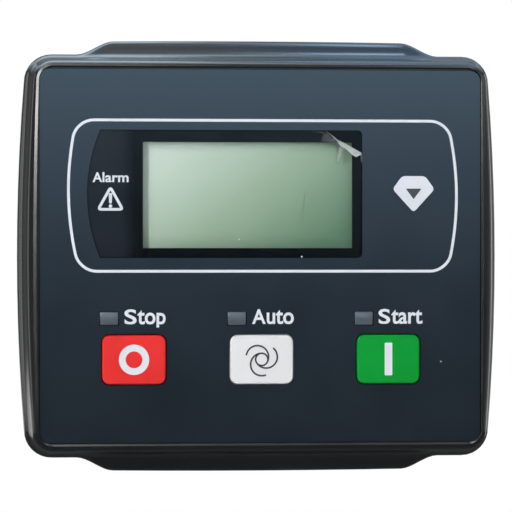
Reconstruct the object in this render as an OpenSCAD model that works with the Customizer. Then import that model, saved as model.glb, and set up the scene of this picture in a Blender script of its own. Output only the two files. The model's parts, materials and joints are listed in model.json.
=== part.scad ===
// Genset controller: a panel-mounted auto-start module with a display and four keys.
// The front faces -Y, +Z is up, and the origin is the centre of the panel cut-out on the seat plane.

/* [Bezel] */
// Width of the bezel at the middle of its bowed sides
bezel_w = 98; // [94:0.5:106]
// Height of the bezel beside the bulges
bezel_h = 81.8; // [80:0.2:90]
// Depth of the bezel from its rim crest to the panel
bezel_d = 11; // [10.4:0.1:13]
// Corner radius of the widest outline
bezel_corner_r = 5.6; // [4.5:0.1:7]
// How far each side bows out at its middle
side_bow = 1.4; // [0:0.1:2]
// Height of the bulges at the top and the bottom
bulge_h = 2.88; // [0.5:0.02:4]
// Distance from the start of a corner to the start of a bulge
bulge_side = 5; // [3:0.1:7]
// Length of the S-curve at each end of a bulge
bulge_slope = 7.5; // [5:0.1:10]
// Bow of a bulge's outer edge
bulge_bow = 0.3; // [0:0.05:0.6]
// Width of the rim's rounded profile
rim_profile_w = 3.1; // [2.8:0.05:3.3]
// Thickness of the wall behind the facia
front_wall = 2; // [1.6:0.1:2.4]

/* [Facia] */
// Width of the rim beside the facia overlay
rim_side = 4.35; // [4:0.05:5]
// Width of the rim above and below the facia overlay
rim_top = 3.35; // [3.1:0.05:4]
// Corner radius of the facia overlay
facia_r = 2; // [1:0.1:3]
// Thickness of the facia overlay
facia_t = 0.5; // [0.3:0.05:0.8]
// Depth of the facia below the rim crest
facia_sink = 0.4; // [0.2:0.05:0.7]
// Gap between the facia and its pocket
facia_gap = 0.15; // [0.1:0.05:0.3]

/* [Display window] */
// Distance from the facia's left edge to the window's bowed left side
window_edge = 9.55; // [9:0.05:10]
// Distance from the window's right edge to the scroll key's centre
window_to_scroll = 10.6; // [10:0.1:11.5]
// Height of the window
window_h = 25.6; // [24.6:0.1:27]
// Distance from the facia's top edge down to the window's centre
window_drop = 25.05; // [24.5:0.05:25.5]
// Radius of the window's bowed left side
window_side_r = 33; // [28:0.5:50]
// Corner radius of the window
window_corner_r = 1; // [0.5:0.1:1.5]
// Thickness of the window
window_t = 1.5; // [1:0.1:1.7]
// Depth of the window below the facia's face
window_sink = 0.25; // [0.15:0.05:0.4]
// Gap around the window
window_gap = 0.1; // [0.05:0.05:0.2]
// Thickness of the protective film
film_t = 0.1; // [0.05:0.01:0.14]
// Margin between the film's edge and the window's edge
film_margin = 0.2; // [0.1:0.05:0.4]
// Length of the film's tear along the window's top edge
tear_w = 10.2; // [6:0.1:14]
// Length of the film's tear down the window's right edge
tear_h = 4.7; // [3:0.1:8]

/* [Display] */
// Width of the window's alarm field, to the left of the viewing area
alarm_field = 11.15; // [10.8:0.05:12]
// Distance from the viewing area to the window's right edge
view_side = 1.75; // [1.2:0.05:2.4]
// Distance from the viewing area up to the window's top edge
view_top = 2.3; // [1.8:0.05:2.8]
// Distance from the viewing area down to the window's bottom edge
view_bottom = 1.9; // [1.5:0.05:2.4]
// Margin of the opening behind the window around the viewing area
view_margin = 0.5; // [0.2:0.1:0.8]
// Margin of the glass at its top and sides around the viewing area
glass_margin = 3; // [2.4:0.1:3.2]
// Height of the glass ledge below the viewing area
glass_ledge = 6; // [4:0.1:7]
// Thickness of the display glass
glass_t = 1.8; // [1.2:0.1:2.2]
// Thickness of the backlight
backlight_t = 3; // [2.4:0.1:3.6]
// Margin between the glass edge and the backlight's edge
backlight_margin = 1; // [0.5:0.1:1.5]
// Number of display pins
display_pin_count = 20; // [10:1:24]
// Pitch of the display pins
display_pin_pitch = 1.78; // [1.5:0.01:1.9]
// Width of a display pin
display_pin_w = 0.5; // [0.4:0.05:0.6]
// How far a display pin laps over the edge of the glass
display_pin_lap = 1.35; // [0.8:0.05:1.6]
// Length of a display pin behind its board
display_pin_tail = 0.5; // [0.3:0.05:0.8]

/* [Keys] */
// Width of a key cap
key_w = 12.8; // [11:0.1:13.4]
// Height of a key cap
key_h = 9.85; // [8.5:0.05:10.2]
// Corner radius of a key cap
key_r = 1.5; // [1:0.1:2.5]
// Distance from the facia's side edges to the outer keys' centres
key_edge = 18.85; // [18.7:0.05:19.5]
// Height of the key row's centre
key_z = -20.85; // [-21.2:0.05:-20]
// How far a key stands proud of the facia
key_proud = 0.5; // [0.2:0.05:0.9]
// Width of the chamfer round a key's face
key_chamfer = 0.35; // [0.1:0.05:0.5]
// Gap between a key and its opening
key_gap = 0.25; // [0.2:0.05:0.4]
// Width of the lip that holds a key behind the wall
key_lip = 0.5; // [0.4:0.05:0.6]
// Thickness of that lip
key_lip_t = 0.6; // [0.4:0.05:0.8]
// Travel of a key
key_travel = 0.3; // [0.2:0.05:0.35]
// Distance from the facia's right edge to the scroll key's centre
scroll_edge = 13.65; // [13:0.05:14]
// Height of the scroll key's centre above the window's centre
scroll_rise = 0.3; // [-1:0.1:1]
// Diameter of the scroll key's plunger
scroll_d = 7; // [5:0.1:7.6]
// Side of a key switch
switch_side = 6; // [5:0.1:6.5]
// Height of a key switch above its board
switch_h = 3.5; // [3.1:0.05:3.6]
// Diameter of a switch stem
stem_d = 3.2; // [2.4:0.1:3.6]
// Depth of a stem inside its switch
stem_depth = 2; // [1.5:0.1:2.2]
// Gap between a stem and its switch
stem_gap = 0.3; // [0.2:0.05:0.4]

/* [Status lights] */
// Width of a status window
light_w = 3.74; // [3:0.02:4.2]
// Height of a status window
light_h = 2.74; // [2.2:0.02:3.4]
// Distance of a status window to the left of its key's centre
light_shift = 4.95; // [4:0.05:6]
// Height of the row of status windows
light_z = -12.6; // [-12.8:0.05:-12]
// Depth of a status window below the facia's face
light_sink = 0.05; // [0.02:0.01:0.2]
// Gap between a light pipe and its opening
light_gap = 0.1; // [0.05:0.05:0.2]
// Width of the lip of a light pipe
light_lip = 0.5; // [0.3:0.05:0.7]
// Side of the alarm light pipe
alarm_side = 5.2; // [4.6:0.1:5.4]
// Distance from the window's left side to the alarm sign's centre
alarm_inset = 4.5; // [4.2:0.05:4.7]
// Distance from the window's centre down to the alarm sign's centre
alarm_drop = 1.15; // [0.5:0.05:2.5]
// Length of a status light
led_l = 2; // [1.6:0.1:2.4]
// Width of a status light
led_w = 1.25; // [0.8:0.05:1.6]
// Height of a status light
led_h = 0.8; // [0.5:0.05:1.2]
// Air gap between a status light and its pipe
led_air = 0.3; // [0.1:0.05:0.5]

/* [Boards] */
// Thickness of the circuit boards
board_t = 1.6; // [1.2:0.1:1.8]
// Gap between the boards and the case walls
board_gap = 0.7; // [0.5:0.1:0.9]
// Distance between the two boards
board_space = 9.7; // [9.2:0.1:10.4]
// Distance of the standoffs from the board's edges
standoff_edge = 3; // [2.8:0.1:3.2]
// Width across flats of a standoff
standoff_af = 4.5; // [4:0.1:5]
// Diameter of the standoff studs and board screws
board_screw_d = 2.5; // [2:0.1:2.6]
// Length of a standoff's stud in front of the display board
stud_l = 4.5; // [3:0.1:4.6]
// Diameter of the bezel's board bosses
board_boss_d = 4.6; // [4.2:0.1:4.8]
// Diameter of a board screw's head
board_screw_head_d = 4.6; // [4:0.1:5]
// Height of a board screw's head
board_screw_head_h = 1.6; // [1.2:0.1:2]
// Gap between a screw and its hole
screw_gap = 0.05; // [0.03:0.01:0.1]
// Gap between a board hole and what goes through it
board_hole_gap = 0.2; // [0.1:0.05:0.3]
// Number of pins in a row of the board header
link_pin_count = 8; // [4:1:10]
// Pitch of the board header's pins
link_pitch = 2.54; // [2:0.01:2.6]
// Height of the board header's base
link_base_h = 2.5; // [2:0.1:3]
// Width of the board header
link_w = 5; // [4.8:0.1:5.4]
// Width of a header pin
link_pin_w = 0.64; // [0.5:0.02:0.7]
// How far the board header runs past its outer pins' pitch
link_margin = 0.25; // [0.2:0.01:0.4]
// Gap between the display pins and the board socket
link_space = 0.6; // [0.4:0.1:1]
// Thickness of the board socket's floor
link_floor = 1.6; // [1:0.1:2]
// Gap between the header pins and the socket's floor
link_tip_gap = 1.6; // [0.5:0.1:2]

/* [Main board parts] */
// Width of a relay
relay_w = 15; // [12:0.1:16]
// Length of a relay
relay_l = 19; // [15:0.1:20]
// Height of a relay
relay_h = 15.5; // [12:0.1:16]
// Distance between the two relays' centres
relay_pitch = 18; // [17:0.1:20]
// Diameter of an input capacitor
capacitor_d = 8; // [6:0.1:9]
// Height of an input capacitor
capacitor_h = 12; // [9:0.1:14]
// Distance between the capacitors
capacitor_pitch = 10; // [9.5:0.1:12]
// Place of the capacitors to the side
capacitor_x = -27; // [-29:0.1:-26]
// Diameter of the power inductor
inductor_d = 9; // [7:0.1:10]
// Height of the power inductor
inductor_h = 6; // [4:0.1:8]
// Diameter of the power inductor's waist
inductor_waist_d = 7.2; // [5:0.1:7.6]
// Thickness of the power inductor's flanges
inductor_flange_t = 1.2; // [0.8:0.1:1.6]
// Height of the power inductor's centre
inductor_z = 5; // [4.8:0.1:8]
// Place of the inductor and the regulator to the side
supply_x = 27; // [25.5:0.1:28.5]
// Side of the voltage regulator
regulator_side = 6.4; // [5:0.1:7]
// Height of the voltage regulator
regulator_h = 2.3; // [1.5:0.1:3]
// Distance of the voltage regulator below the centre
regulator_drop = 8; // [5:0.1:10]
// Side of the microcontroller
chip_side = 10; // [7:0.1:12]
// Height of the microcontroller
chip_h = 1.4; // [1:0.1:1.8]
// Place of the microcontroller to the side
chip_x = 10; // [8:0.1:12]
// Height of the microcontroller and the crystal
chip_z = 10; // [6:0.1:12]
// Length of the crystal can
crystal_l = 11; // [8:0.1:12]
// Width of the crystal can
crystal_w = 4.7; // [4:0.1:5]
// Height of the crystal can
crystal_h = 3.6; // [2.5:0.1:4]
// Corner radius of the crystal can
crystal_r = 2.3; // [1:0.05:2.3]
// Distance of the crystal to the left of the centre
crystal_shift = 11; // [9:0.1:14]
// Width of an optocoupler
coupler_w = 4.6; // [4:0.1:5]
// Length of an optocoupler
coupler_l = 6.5; // [6:0.1:7]
// Height of an optocoupler
coupler_h = 3.5; // [2:0.1:4]
// Number of optocouplers
coupler_count = 4; // [2:1:5]
// Distance between optocouplers
coupler_pitch = 9; // [7:0.1:10]

/* [Terminals] */
// Pitch of the terminals
terminal_pitch = 5.08; // [5:0.01:5.2]
// How far a terminal block runs past its outer terminals' pitch
terminal_margin = 0.5; // [0.3:0.05:0.7]
// Number of output terminals, in the lower row
output_count = 10; // [6:1:10]
// Number of input terminals, in the upper row
input_count = 6; // [4:1:6]
// Distance of the terminal rows above and below the centre
terminal_z = 21; // [20:0.1:21.5]
// Place of the upper row's centre to the side
input_x = -10; // [-12:0.1:-9]
// Height of a terminal header above the board
header_h = 12; // [10:0.1:13]
// Width of a terminal header
header_w = 8.6; // [8.2:0.1:9]
// Wall of a terminal header
header_wall = 0.8; // [0.6:0.05:1]
// Thickness of a header's floor
header_floor = 3; // [2:0.1:4]
// Gap between a header and its plug
plug_gap = 0.2; // [0.1:0.05:0.3]
// Length of the plug's head outside its header
plug_head_l = 9; // [7:0.1:10]
// Diameter of a terminal pin
pin_d = 1; // [0.8:0.05:1.2]
// Gap around a terminal pin in its plug
pin_gap = 0.3; // [0.2:0.05:0.4]
// Length of a terminal pin above its header's floor
pin_l = 6; // [4:0.1:7]
// Width of a wire entry
wire_w = 3.2; // [2.4:0.1:3.4]
// Depth of a wire entry
wire_depth = 6; // [4:0.1:6.5]
// Height of the wire entries above a plug's centre
wire_rise = 1.95; // [1.8:0.05:2.1]
// Diameter of a terminal screw
terminal_screw_d = 2.8; // [2.2:0.1:3]
// Length of a terminal screw
terminal_screw_l = 4; // [3:0.1:5]
// Depth of a terminal screw below the plug's face
terminal_screw_sink = 0.8; // [0.4:0.1:1.2]
// Width of a terminal screw's slot
terminal_slot_w = 0.6; // [0.4:0.05:0.8]
// Distance of the terminal screws below a plug's centre
terminal_screw_drop = 2.25; // [2.2:0.05:2.4]
// Width of the programming socket
socket_w = 12; // [11.4:0.1:12.6]
// Height of the programming socket
socket_h = 11; // [10.4:0.1:11.4]
// Length of the programming socket above the board
socket_l = 18; // [17.6:0.1:19]
// Wall of the programming socket
socket_wall = 1.2; // [0.8:0.1:1.4]
// Width of the tongue in the programming socket
socket_tongue_w = 5.8; // [4:0.1:6.4]
// Height of the tongue in the programming socket
socket_tongue_h = 3; // [2:0.1:3.6]
// Place of the programming socket to the side
socket_x = 20; // [18:0.1:22]

/* [Rear case] */
// How far the bezel overlaps the panel beside its cut-out
panel_overlap = 9; // [8.6:0.1:9.2]
// Height of the panel cut-out
cutout_h = 68; // [67:0.1:68.4]
// Gap between the case and the cut-out
cutout_gap = 0.5; // [0.3:0.05:0.7]
// Depth of the case behind the panel
case_d = 29; // [28.6:0.1:32]
// Wall of the case
case_wall = 2; // [1.6:0.1:2.2]
// Corner radius of the case
case_r = 2; // [1:0.1:3]
// Width of the case flange beyond the case's sides
flange_side = 4; // [3.9:0.05:4.3]
// Width of the case flange above and below the case
flange_top = 2.5; // [1.5:0.1:2.8]
// Thickness of the case flange
flange_t = 2; // [1.6:0.1:2.4]
// Gap between the flange and the bezel
flange_gap = 0.2; // [0.1:0.05:0.3]
// Gap between the rear openings and the plugs
rear_gap = 0.8; // [0.4:0.1:1]
// Height of the case screws above and below the centre
case_screw_z = 27; // [22:0.1:29]
// Diameter of a case screw
case_screw_d = 2.2; // [1.8:0.1:2.4]
// Length of a case screw under its head
case_screw_l = 5; // [4:0.1:5.4]
// Diameter of a case screw's head
case_head_d = 3.7; // [3.2:0.1:3.8]
// Height of a case screw's head
case_head_h = 1; // [0.7:0.05:1.1]
// Diameter of the bezel's screw bosses
case_boss_d = 5; // [4.8:0.1:5.4]
// Length of a vent slot
vent_l = 12; // [6:0.5:16]
// Width of a vent slot
vent_w = 1.6; // [1:0.1:2]
// Number of vent slots in a row
vent_count = 9; // [3:1:11]
// Distance between vent slots
vent_pitch = 5; // [4:0.1:6]
// Depth of the vent row's centre behind the panel
vent_y = 17; // [14:0.5:20]

/* [Panel fixing] */
// Thickness of the panel gasket
gasket_t = 1; // [0.6:0.1:1.2]
// Gap between the gasket and the case
gasket_gap = 0.7; // [0.5:0.1:1]
// Margin between the gasket and the bezel's edge
gasket_margin = 1; // [0.8:0.1:2]
// Thickest panel that the clips hold as they are set here
panel_max = 6; // [5:0.1:7]
// Width of a clip
clip_w = 10; // [8:0.1:12]
// Height of a clip's nut block above the case
clip_h = 8; // [7:0.1:9]
// Length of a clip's nut block
clip_l = 6; // [4:0.1:7]
// Depth of a clip's nut block behind the panel
clip_y = 14; // [12:0.1:15]
// Thickness of a clip's foot along the case
clip_foot_t = 1.6; // [1.2:0.1:2]
// Length of a clip's foot in front of its nut block
clip_foot_l = 5; // [3:0.1:6]
// Width of a clip's hook
hook_w = 6; // [4:0.1:7]
// Thickness of a clip's hook
hook_t = 2.4; // [1.6:0.1:2.8]
// How far a clip's hook reaches behind the case wall
hook_reach = 0.6; // [0.4:0.1:1]
// How far a clip's barb runs along the inside of the case wall
hook_barb = 1; // [0.5:0.1:1.4]
// Gap round a hook in its slot
hook_gap = 0.2; // [0.1:0.05:0.3]
// Diameter of a clip screw
clip_screw_d = 3; // [2.5:0.1:3.4]
// Length of a clip screw under its head
clip_screw_l = 20; // [18:0.5:24]
// Distance of a clip screw from the case wall
clip_screw_out = 4.6; // [4:0.1:5]
// Diameter of a clip screw's head
clip_head_d = 5.6; // [5:0.1:6]
// Height of a clip screw's head
clip_head_h = 2; // [1.5:0.1:3]
// Width of the slot in a clip screw's head
clip_slot_w = 0.8; // [0.6:0.1:1]

/* [Hidden] */
$fn = 48;
// Cuts run past the faces that they open by this much.
past = 1;

// Depths along Y, from the front to the rear
crest_y = -bezel_d;
facia_y = crest_y + facia_sink;
pocket_y = facia_y + facia_t;
wall_y = pocket_y + front_wall;
window_y = facia_y + window_sink;
ledge_y = window_y + window_t;
backlight_y = wall_y + glass_t;
display_board_y = backlight_y + backlight_t;
lip_y = wall_y + key_lip_t;
switch_y = display_board_y - switch_h;
pipe_end_y = display_board_y - led_h - led_air;
standoff_y = display_board_y + board_t;
main_board_y = standoff_y + board_space;
parts_y = main_board_y + board_t;
bezel_rear_y = -gasket_t;
flange_y = bezel_rear_y - flange_t;
header_end_y = parts_y + header_h;
plug_end_y = header_end_y + plug_head_l;

// Places on the front, from the bezel's edges inwards
facia_w = bezel_w - 2 * rim_side;
facia_h = bezel_h - 2 * rim_top;
key_pitch = facia_w / 2 - key_edge;
scroll_x = facia_w / 2 - scroll_edge;
window_left = window_edge - facia_w / 2;
window_right = scroll_x - window_to_scroll;
window_z = facia_h / 2 - window_drop;
scroll_z = window_z + scroll_rise;
alarm_x = window_left + alarm_inset;
alarm_z = window_z - alarm_drop;

// Sizes across, worked out from the fits
window_w = window_right - window_left;
window_x = (window_left + window_right) / 2;
window_top = window_z + window_h / 2;
view_w = window_w - alarm_field - view_side;
view_h = window_h - view_top - view_bottom;
view_x = window_right - view_side - view_w / 2;
view_z = window_z + (view_bottom - view_top) / 2;
glass_w = view_w + 2 * glass_margin;
glass_h = view_h + glass_margin + glass_ledge;
glass_z = view_z + (glass_margin - glass_ledge) / 2;
display_pin_z = glass_z - glass_h / 2 - display_pin_w / 2;
link_z = display_pin_z - display_pin_w / 2 - link_space - link_w / 2;
link_l = link_pitch * link_pin_count + 2 * link_margin;
cutout_w = bezel_w - 2 * panel_overlap;
case_w = cutout_w - 2 * cutout_gap;
case_h = cutout_h - 2 * cutout_gap;
inner_w = case_w - 2 * case_wall;
inner_h = case_h - 2 * case_wall;
board_w = inner_w - 2 * board_gap;
board_h = inner_h - 2 * board_gap;
standoff_x = board_w / 2 - standoff_edge;
standoff_z = board_h / 2 - standoff_edge;
flange_w = case_w + 2 * flange_side;
flange_h = case_h + 2 * flange_top;
cavity_w = flange_w + 2 * flange_gap;
cavity_h = flange_h + 2 * flange_gap;
case_screw_x = case_w / 2 + flange_side / 2;

// Points of the outlines
side_steps = 10;
corner_steps = 8;
curve_steps = 8;
middle_steps = 6;
quarter_turn = 90;
corner_x = bezel_w / 2 - side_bow - bezel_corner_r;
corner_z = bezel_h / 2 - bezel_corner_r;
bulge_base_w = 2 * (corner_x - bulge_side);
bulge_top_w = bulge_base_w - 2 * bulge_slope;

// Rim section from the facia over the crest and the cove to the lip and the rear face:
// shares of the bezel's depth, of the profile's width from the widest outline, of the bow and of the bulge
RIM = [
  [0.015, 1.000, 0.30, 0.00], [0.000, 0.871, 0.35, 0.00], [0.015, 0.710, 0.45, 0.00],
  [0.060, 0.581, 0.60, 0.00], [0.140, 0.484, 0.75, 0.00], [0.260, 0.435, 0.85, 0.03],
  [0.400, 0.387, 0.90, 0.12], [0.520, 0.323, 0.94, 0.28], [0.600, 0.258, 0.97, 0.48],
  [0.650, 0.161, 1.00, 0.68], [0.700, 0.071, 1.00, 0.86], [0.770, 0.016, 1.00, 0.97],
  [0.840, 0.000, 1.00, 1.00], [0.940, 0.032, 1.00, 1.00], [1.000, 0.194, 1.00, 0.92]
];

// Rise of a bulge above the straight edge at one place along it, as an S-curve at each end
function smooth(t) = t <= 0 ? 0 : t >= 1 ? 1 : t * t * (3 - 2 * t);
function bulge_rise(x) =
  smooth((bulge_base_w / 2 - abs(x)) / (bulge_base_w / 2 - bulge_top_w / 2))
  * (bulge_h - bulge_bow * pow(2 * x / bulge_base_w, 2));

// Places along the top edge, closest together on the S-curves
top_places = concat(
  [corner_x],
  [for (k = [0 : curve_steps - 1]) bulge_base_w / 2 - k / curve_steps * (bulge_base_w - bulge_top_w) / 2],
  [for (k = [0 : middle_steps - 1]) bulge_top_w / 2 - k / middle_steps * bulge_top_w],
  [for (k = [0 : curve_steps - 1]) -bulge_top_w / 2 - k / curve_steps * (bulge_base_w - bulge_top_w) / 2],
  [-bulge_base_w / 2]
);

// Right side, upper right corner, top edge and upper left corner of one ring of the rim
function corner_arc(side, r, start) = [for (k = [0 : corner_steps - 1])
  let (t = start + quarter_turn * k / corner_steps) [side * corner_x + r * cos(t), corner_z + r * sin(t)]];
function half_outline(inset, bow, bulge) =
  let (r = bezel_corner_r - inset)
  concat(
    [for (k = [0 : side_steps - 1]) let (z = corner_z * (2 * k / side_steps - 1))
      [corner_x + r + side_bow * bow * (1 - pow(z / corner_z, 2)), z]],
    corner_arc(1, r, 0),
    [for (x = top_places) [x, corner_z + r + bulge * bulge_rise(x)]],
    corner_arc(-1, r, quarter_turn)
  );

// One closed ring of the rim; the lower left half is the upper right half turned by half a turn
function rim_ring(row) =
  let (half = half_outline(row[1] * rim_profile_w, row[2], row[3]),
       y = crest_y + row[0] * (bezel_rear_y - crest_y))
  concat([for (p = half) [p[0], y, p[1]]], [for (p = half) [-p[0], y, -p[1]]]);

// Helpers: plates, rods and places seen from the front
module plate(from, to) {
  translate([0, to, 0]) rotate([90, 0, 0]) linear_extrude(height = to - from) children();
}

module rod(from, to, d) {
  translate([0, to, 0]) rotate([90, 0, 0]) cylinder(h = to - from, d = d);
}

module at(x, z) {
  translate([x, 0, z]) children();
}

module rounded_rect(w, h, r) {
  square([w - 2 * r, h], center = true);
  square([w, h - 2 * r], center = true);
  for (sx = [-1, 1], sy = [-1, 1]) translate([sx * (w / 2 - r), sy * (h / 2 - r)]) circle(r);
}

module four_corners(x, z) {
  for (sx = [-1, 1], sz = [-1, 1]) at(sx * x, sz * z) children();
}

// Window outline, drawn larger by a margin: straight on three sides and bowed on the left
module window_outline(margin) {
  intersection() {
    translate([window_x, window_z])
      rounded_rect(window_w + 2 * margin, window_h + 2 * margin, window_corner_r);
    translate([window_left + window_side_r, window_z]) circle(window_side_r + margin, $fn = 180);
    translate([window_left - margin, window_z - window_h]) square([window_w + 2 * margin, 2 * window_h]);
  }
}

// Front pieces
// Rings joined side by side, with a fan of faces round a centre point at each end
module rim_loft() {
  rings = [for (row = RIM) rim_ring(row)];
  count = len(rings[0]);
  last = len(rings) - 1;
  front_centre = len(rings) * count;
  rear_centre = front_centre + 1;
  centres = [[0, rings[0][0][1], 0], [0, rings[last][0][1], 0]];
  sides = [for (j = [0 : last - 1], k = [0 : count - 1])
    let (next = (k + 1) % count)
    each [[j * count + k, j * count + next, (j + 1) * count + next],
          [j * count + k, (j + 1) * count + next, (j + 1) * count + k]]];
  front = [for (k = [0 : count - 1]) [front_centre, (k + 1) % count, k]];
  rear = [for (k = [0 : count - 1]) [rear_centre, last * count + k, last * count + (k + 1) % count]];
  polyhedron(points = concat([for (ring = rings) each ring], centres),
             faces = concat(front, sides, rear), convexity = 6);
}

module key_openings(gap) {
  for (k = [-1 : 1]) translate([k * key_pitch, key_z])
    rounded_rect(key_w + 2 * gap, key_h + 2 * gap, key_r + gap);
}

module light_openings(gap) {
  for (k = [-1 : 1]) translate([k * key_pitch - light_shift, light_z])
    square([light_w + 2 * gap, light_h + 2 * gap], center = true);
}

module front_bezel() {
  color([0.10, 0.11, 0.12]) difference() {
    union() {
      difference() {
        rim_loft();
        plate(wall_y, past) rounded_rect(cavity_w, cavity_h, facia_r);
      }
      four_corners(standoff_x, standoff_z) rod(wall_y - front_wall / 2, display_board_y, board_boss_d);
      four_corners(case_screw_x, case_screw_z) rod(wall_y - front_wall / 2, flange_y, case_boss_d);
    }
    plate(crest_y - past, pocket_y)
      rounded_rect(facia_w + 2 * facia_gap, facia_h + 2 * facia_gap, facia_r + facia_gap);
    plate(crest_y - past, ledge_y) window_outline(window_gap);
    plate(crest_y - past, wall_y + past) {
      translate([view_x, view_z])
        square([view_w + 2 * view_margin, view_h + 2 * view_margin], center = true);
      translate([alarm_x, alarm_z])
        square([alarm_side + 2 * light_gap, alarm_side + 2 * light_gap], center = true);
      key_openings(key_gap);
      light_openings(light_gap);
    }
    at(scroll_x, scroll_z) rod(crest_y - past, wall_y + past, scroll_d + 2 * key_gap);
    four_corners(standoff_x, standoff_z)
      rod(standoff_y - board_t - stud_l, display_board_y + past, board_screw_d + 2 * screw_gap);
    four_corners(case_screw_x, case_screw_z)
      rod(bezel_rear_y - case_head_h - case_screw_l, flange_y + past, case_screw_d + 2 * screw_gap);
  }
}

module facia_overlay() {
  color([0.17, 0.21, 0.26]) plate(facia_y, pocket_y) difference() {
    rounded_rect(facia_w, facia_h, facia_r);
    window_outline(window_gap);
    key_openings(key_gap);
    light_openings(light_gap);
  }
}

module display_window() {
  color([0.09, 0.12, 0.15]) plate(window_y, ledge_y) window_outline(0);
}

// Edge of the film's tear from the window's corner: shares of its length to the left and downwards
TEAR = [[1, 0.02], [0.7, 0.085], [0.48, 0.4], [0.235, 0.72]];

// Corner of the film that is torn off, from the window's top edge to its right edge
module torn_corner() {
  polygon(concat(
    [[window_right - tear_w, window_top + past]],
    [for (p = TEAR) [window_right - p[0] * tear_w, window_top - p[1] * tear_h]],
    [[window_right + past, window_top - tear_h], [window_right + past, window_top + past]]
  ));
}

module window_film() {
  color([0.75, 0.8, 0.82, 0.4]) plate(window_y - film_t, window_y) difference() {
    window_outline(-film_margin);
    torn_corner();
  }
}

// A key cap: a chamfered face through the facia and a lip behind the bezel's wall
module key_cap(column) {
  at(column * key_pitch, key_z) {
    hull() {
      plate(facia_y - key_proud, facia_y - key_proud + key_chamfer)
        rounded_rect(key_w - 2 * key_chamfer, key_h - 2 * key_chamfer, key_r - key_chamfer / 2, $fn = 32);
      plate(facia_y - key_proud + key_chamfer, wall_y) rounded_rect(key_w, key_h, key_r, $fn = 32);
    }
    plate(wall_y, lip_y) rounded_rect(key_w + 2 * key_lip, key_h + 2 * key_lip, key_r + key_lip);
  }
}

module stop_button() {
  color([0.9, 0.2, 0.2]) key_cap(-1);
}

module auto_button() {
  color([0.91, 0.92, 0.92]) key_cap(0);
}

module start_button() {
  color([0.05, 0.6, 0.22]) key_cap(1);
}

module scroll_button() {
  color([0.2, 0.2, 0.22]) at(scroll_x, scroll_z) {
    rod(pocket_y, wall_y, scroll_d);
    rod(wall_y, lip_y, scroll_d + 2 * key_lip + 2 * key_gap);
  }
}

// Switches and lights on the display board
module switch_stem(x, z) {
  color([0.85, 0.8, 0.6]) at(x, z) rod(lip_y, switch_y + stem_depth, stem_d);
}

module stop_switch_stem() {
  switch_stem(-key_pitch, key_z);
}

module auto_switch_stem() {
  switch_stem(0, key_z);
}

module start_switch_stem() {
  switch_stem(key_pitch, key_z);
}

module scroll_switch_stem() {
  switch_stem(scroll_x, scroll_z);
}

module key_switches() {
  color([0.15, 0.15, 0.16])
    for (place = [[-key_pitch, key_z], [0, key_z], [key_pitch, key_z], [scroll_x, scroll_z]])
      at(place[0], place[1]) difference() {
        plate(switch_y, display_board_y) square(switch_side, center = true);
        rod(switch_y - past, switch_y + stem_depth + key_travel + stem_gap, stem_d + 2 * stem_gap);
      }
}

module light_pipe(column) {
  color([0.42, 0.46, 0.5]) at(column * key_pitch - light_shift, light_z) {
    plate(facia_y + light_sink, pipe_end_y) square([light_w, light_h], center = true);
    plate(wall_y, lip_y) square([light_w + 2 * light_lip, light_h + 2 * light_lip], center = true);
  }
}

module stop_light_pipe() {
  light_pipe(-1);
}

module auto_light_pipe() {
  light_pipe(0);
}

module start_light_pipe() {
  light_pipe(1);
}

module alarm_light_pipe() {
  color([0.8, 0.82, 0.84]) at(alarm_x, alarm_z) plate(ledge_y, pipe_end_y)
    square(alarm_side, center = true);
}

module status_leds() {
  places = concat([for (k = [-1 : 1]) [k * key_pitch - light_shift, light_z]], [[alarm_x, alarm_z]]);
  color([0.95, 0.93, 0.8]) for (place = places)
    at(place[0], place[1]) plate(display_board_y - led_h, display_board_y)
      square([led_l, led_w], center = true);
}

// Display
module lcd_glass() {
  color([0.6, 0.7, 0.62]) at(view_x, glass_z) plate(wall_y, backlight_y)
    square([glass_w, glass_h], center = true);
}

module lcd_backlight() {
  color([0.92, 0.92, 0.9]) at(view_x, glass_z) plate(backlight_y, display_board_y)
    square([glass_w - 2 * backlight_margin, glass_h - 2 * backlight_margin], center = true);
}

// Places of the display pins along the lower edge of the glass
display_pin_places = [for (k = [0 : display_pin_count - 1])
  view_x + (k - (display_pin_count - 1) / 2) * display_pin_pitch];

module lcd_pins() {
  color([0.8, 0.8, 0.82]) for (x = display_pin_places) at(x, display_pin_z)
    plate(backlight_y - display_pin_lap, standoff_y + display_pin_tail) square(display_pin_w, center = true);
}

// Boards and what joins them
module board_blank(y) {
  difference() {
    plate(y, y + board_t) square([board_w, board_h], center = true);
    four_corners(standoff_x, standoff_z)
      rod(y - past, y + board_t + past, board_screw_d + 2 * board_hole_gap);
  }
}

module display_board() {
  color([0.1, 0.35, 0.2]) difference() {
    board_blank(display_board_y);
    for (x = display_pin_places) at(x, display_pin_z)
      rod(display_board_y - past, standoff_y + past, display_pin_w + 2 * board_hole_gap);
  }
}

module board_standoffs() {
  color([0.8, 0.65, 0.3]) four_corners(standoff_x, standoff_z) difference() {
    union() {
      plate(standoff_y, main_board_y) circle(standoff_af / 2 / cos(30), $fn = 6);
      rod(display_board_y - stud_l, standoff_y, board_screw_d);
    }
    rod(main_board_y - stud_l, main_board_y + past, board_screw_d + 2 * screw_gap);
  }
}

// Centres of the board header's two rows of pins
link_places = [for (row = [-1, 1], k = [0 : link_pin_count - 1])
  [(k - (link_pin_count - 1) / 2) * link_pitch, link_z + row * link_pitch / 2]];
link_y = main_board_y - link_base_h;

module board_socket() {
  color([0.12, 0.12, 0.13]) difference() {
    at(0, link_z) plate(standoff_y, link_y) square([link_l, link_w], center = true);
    for (place = link_places) at(place[0], place[1])
      plate(standoff_y + link_floor, link_y + past) square(link_pin_w + 2 * board_hole_gap, center = true);
  }
}

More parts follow.
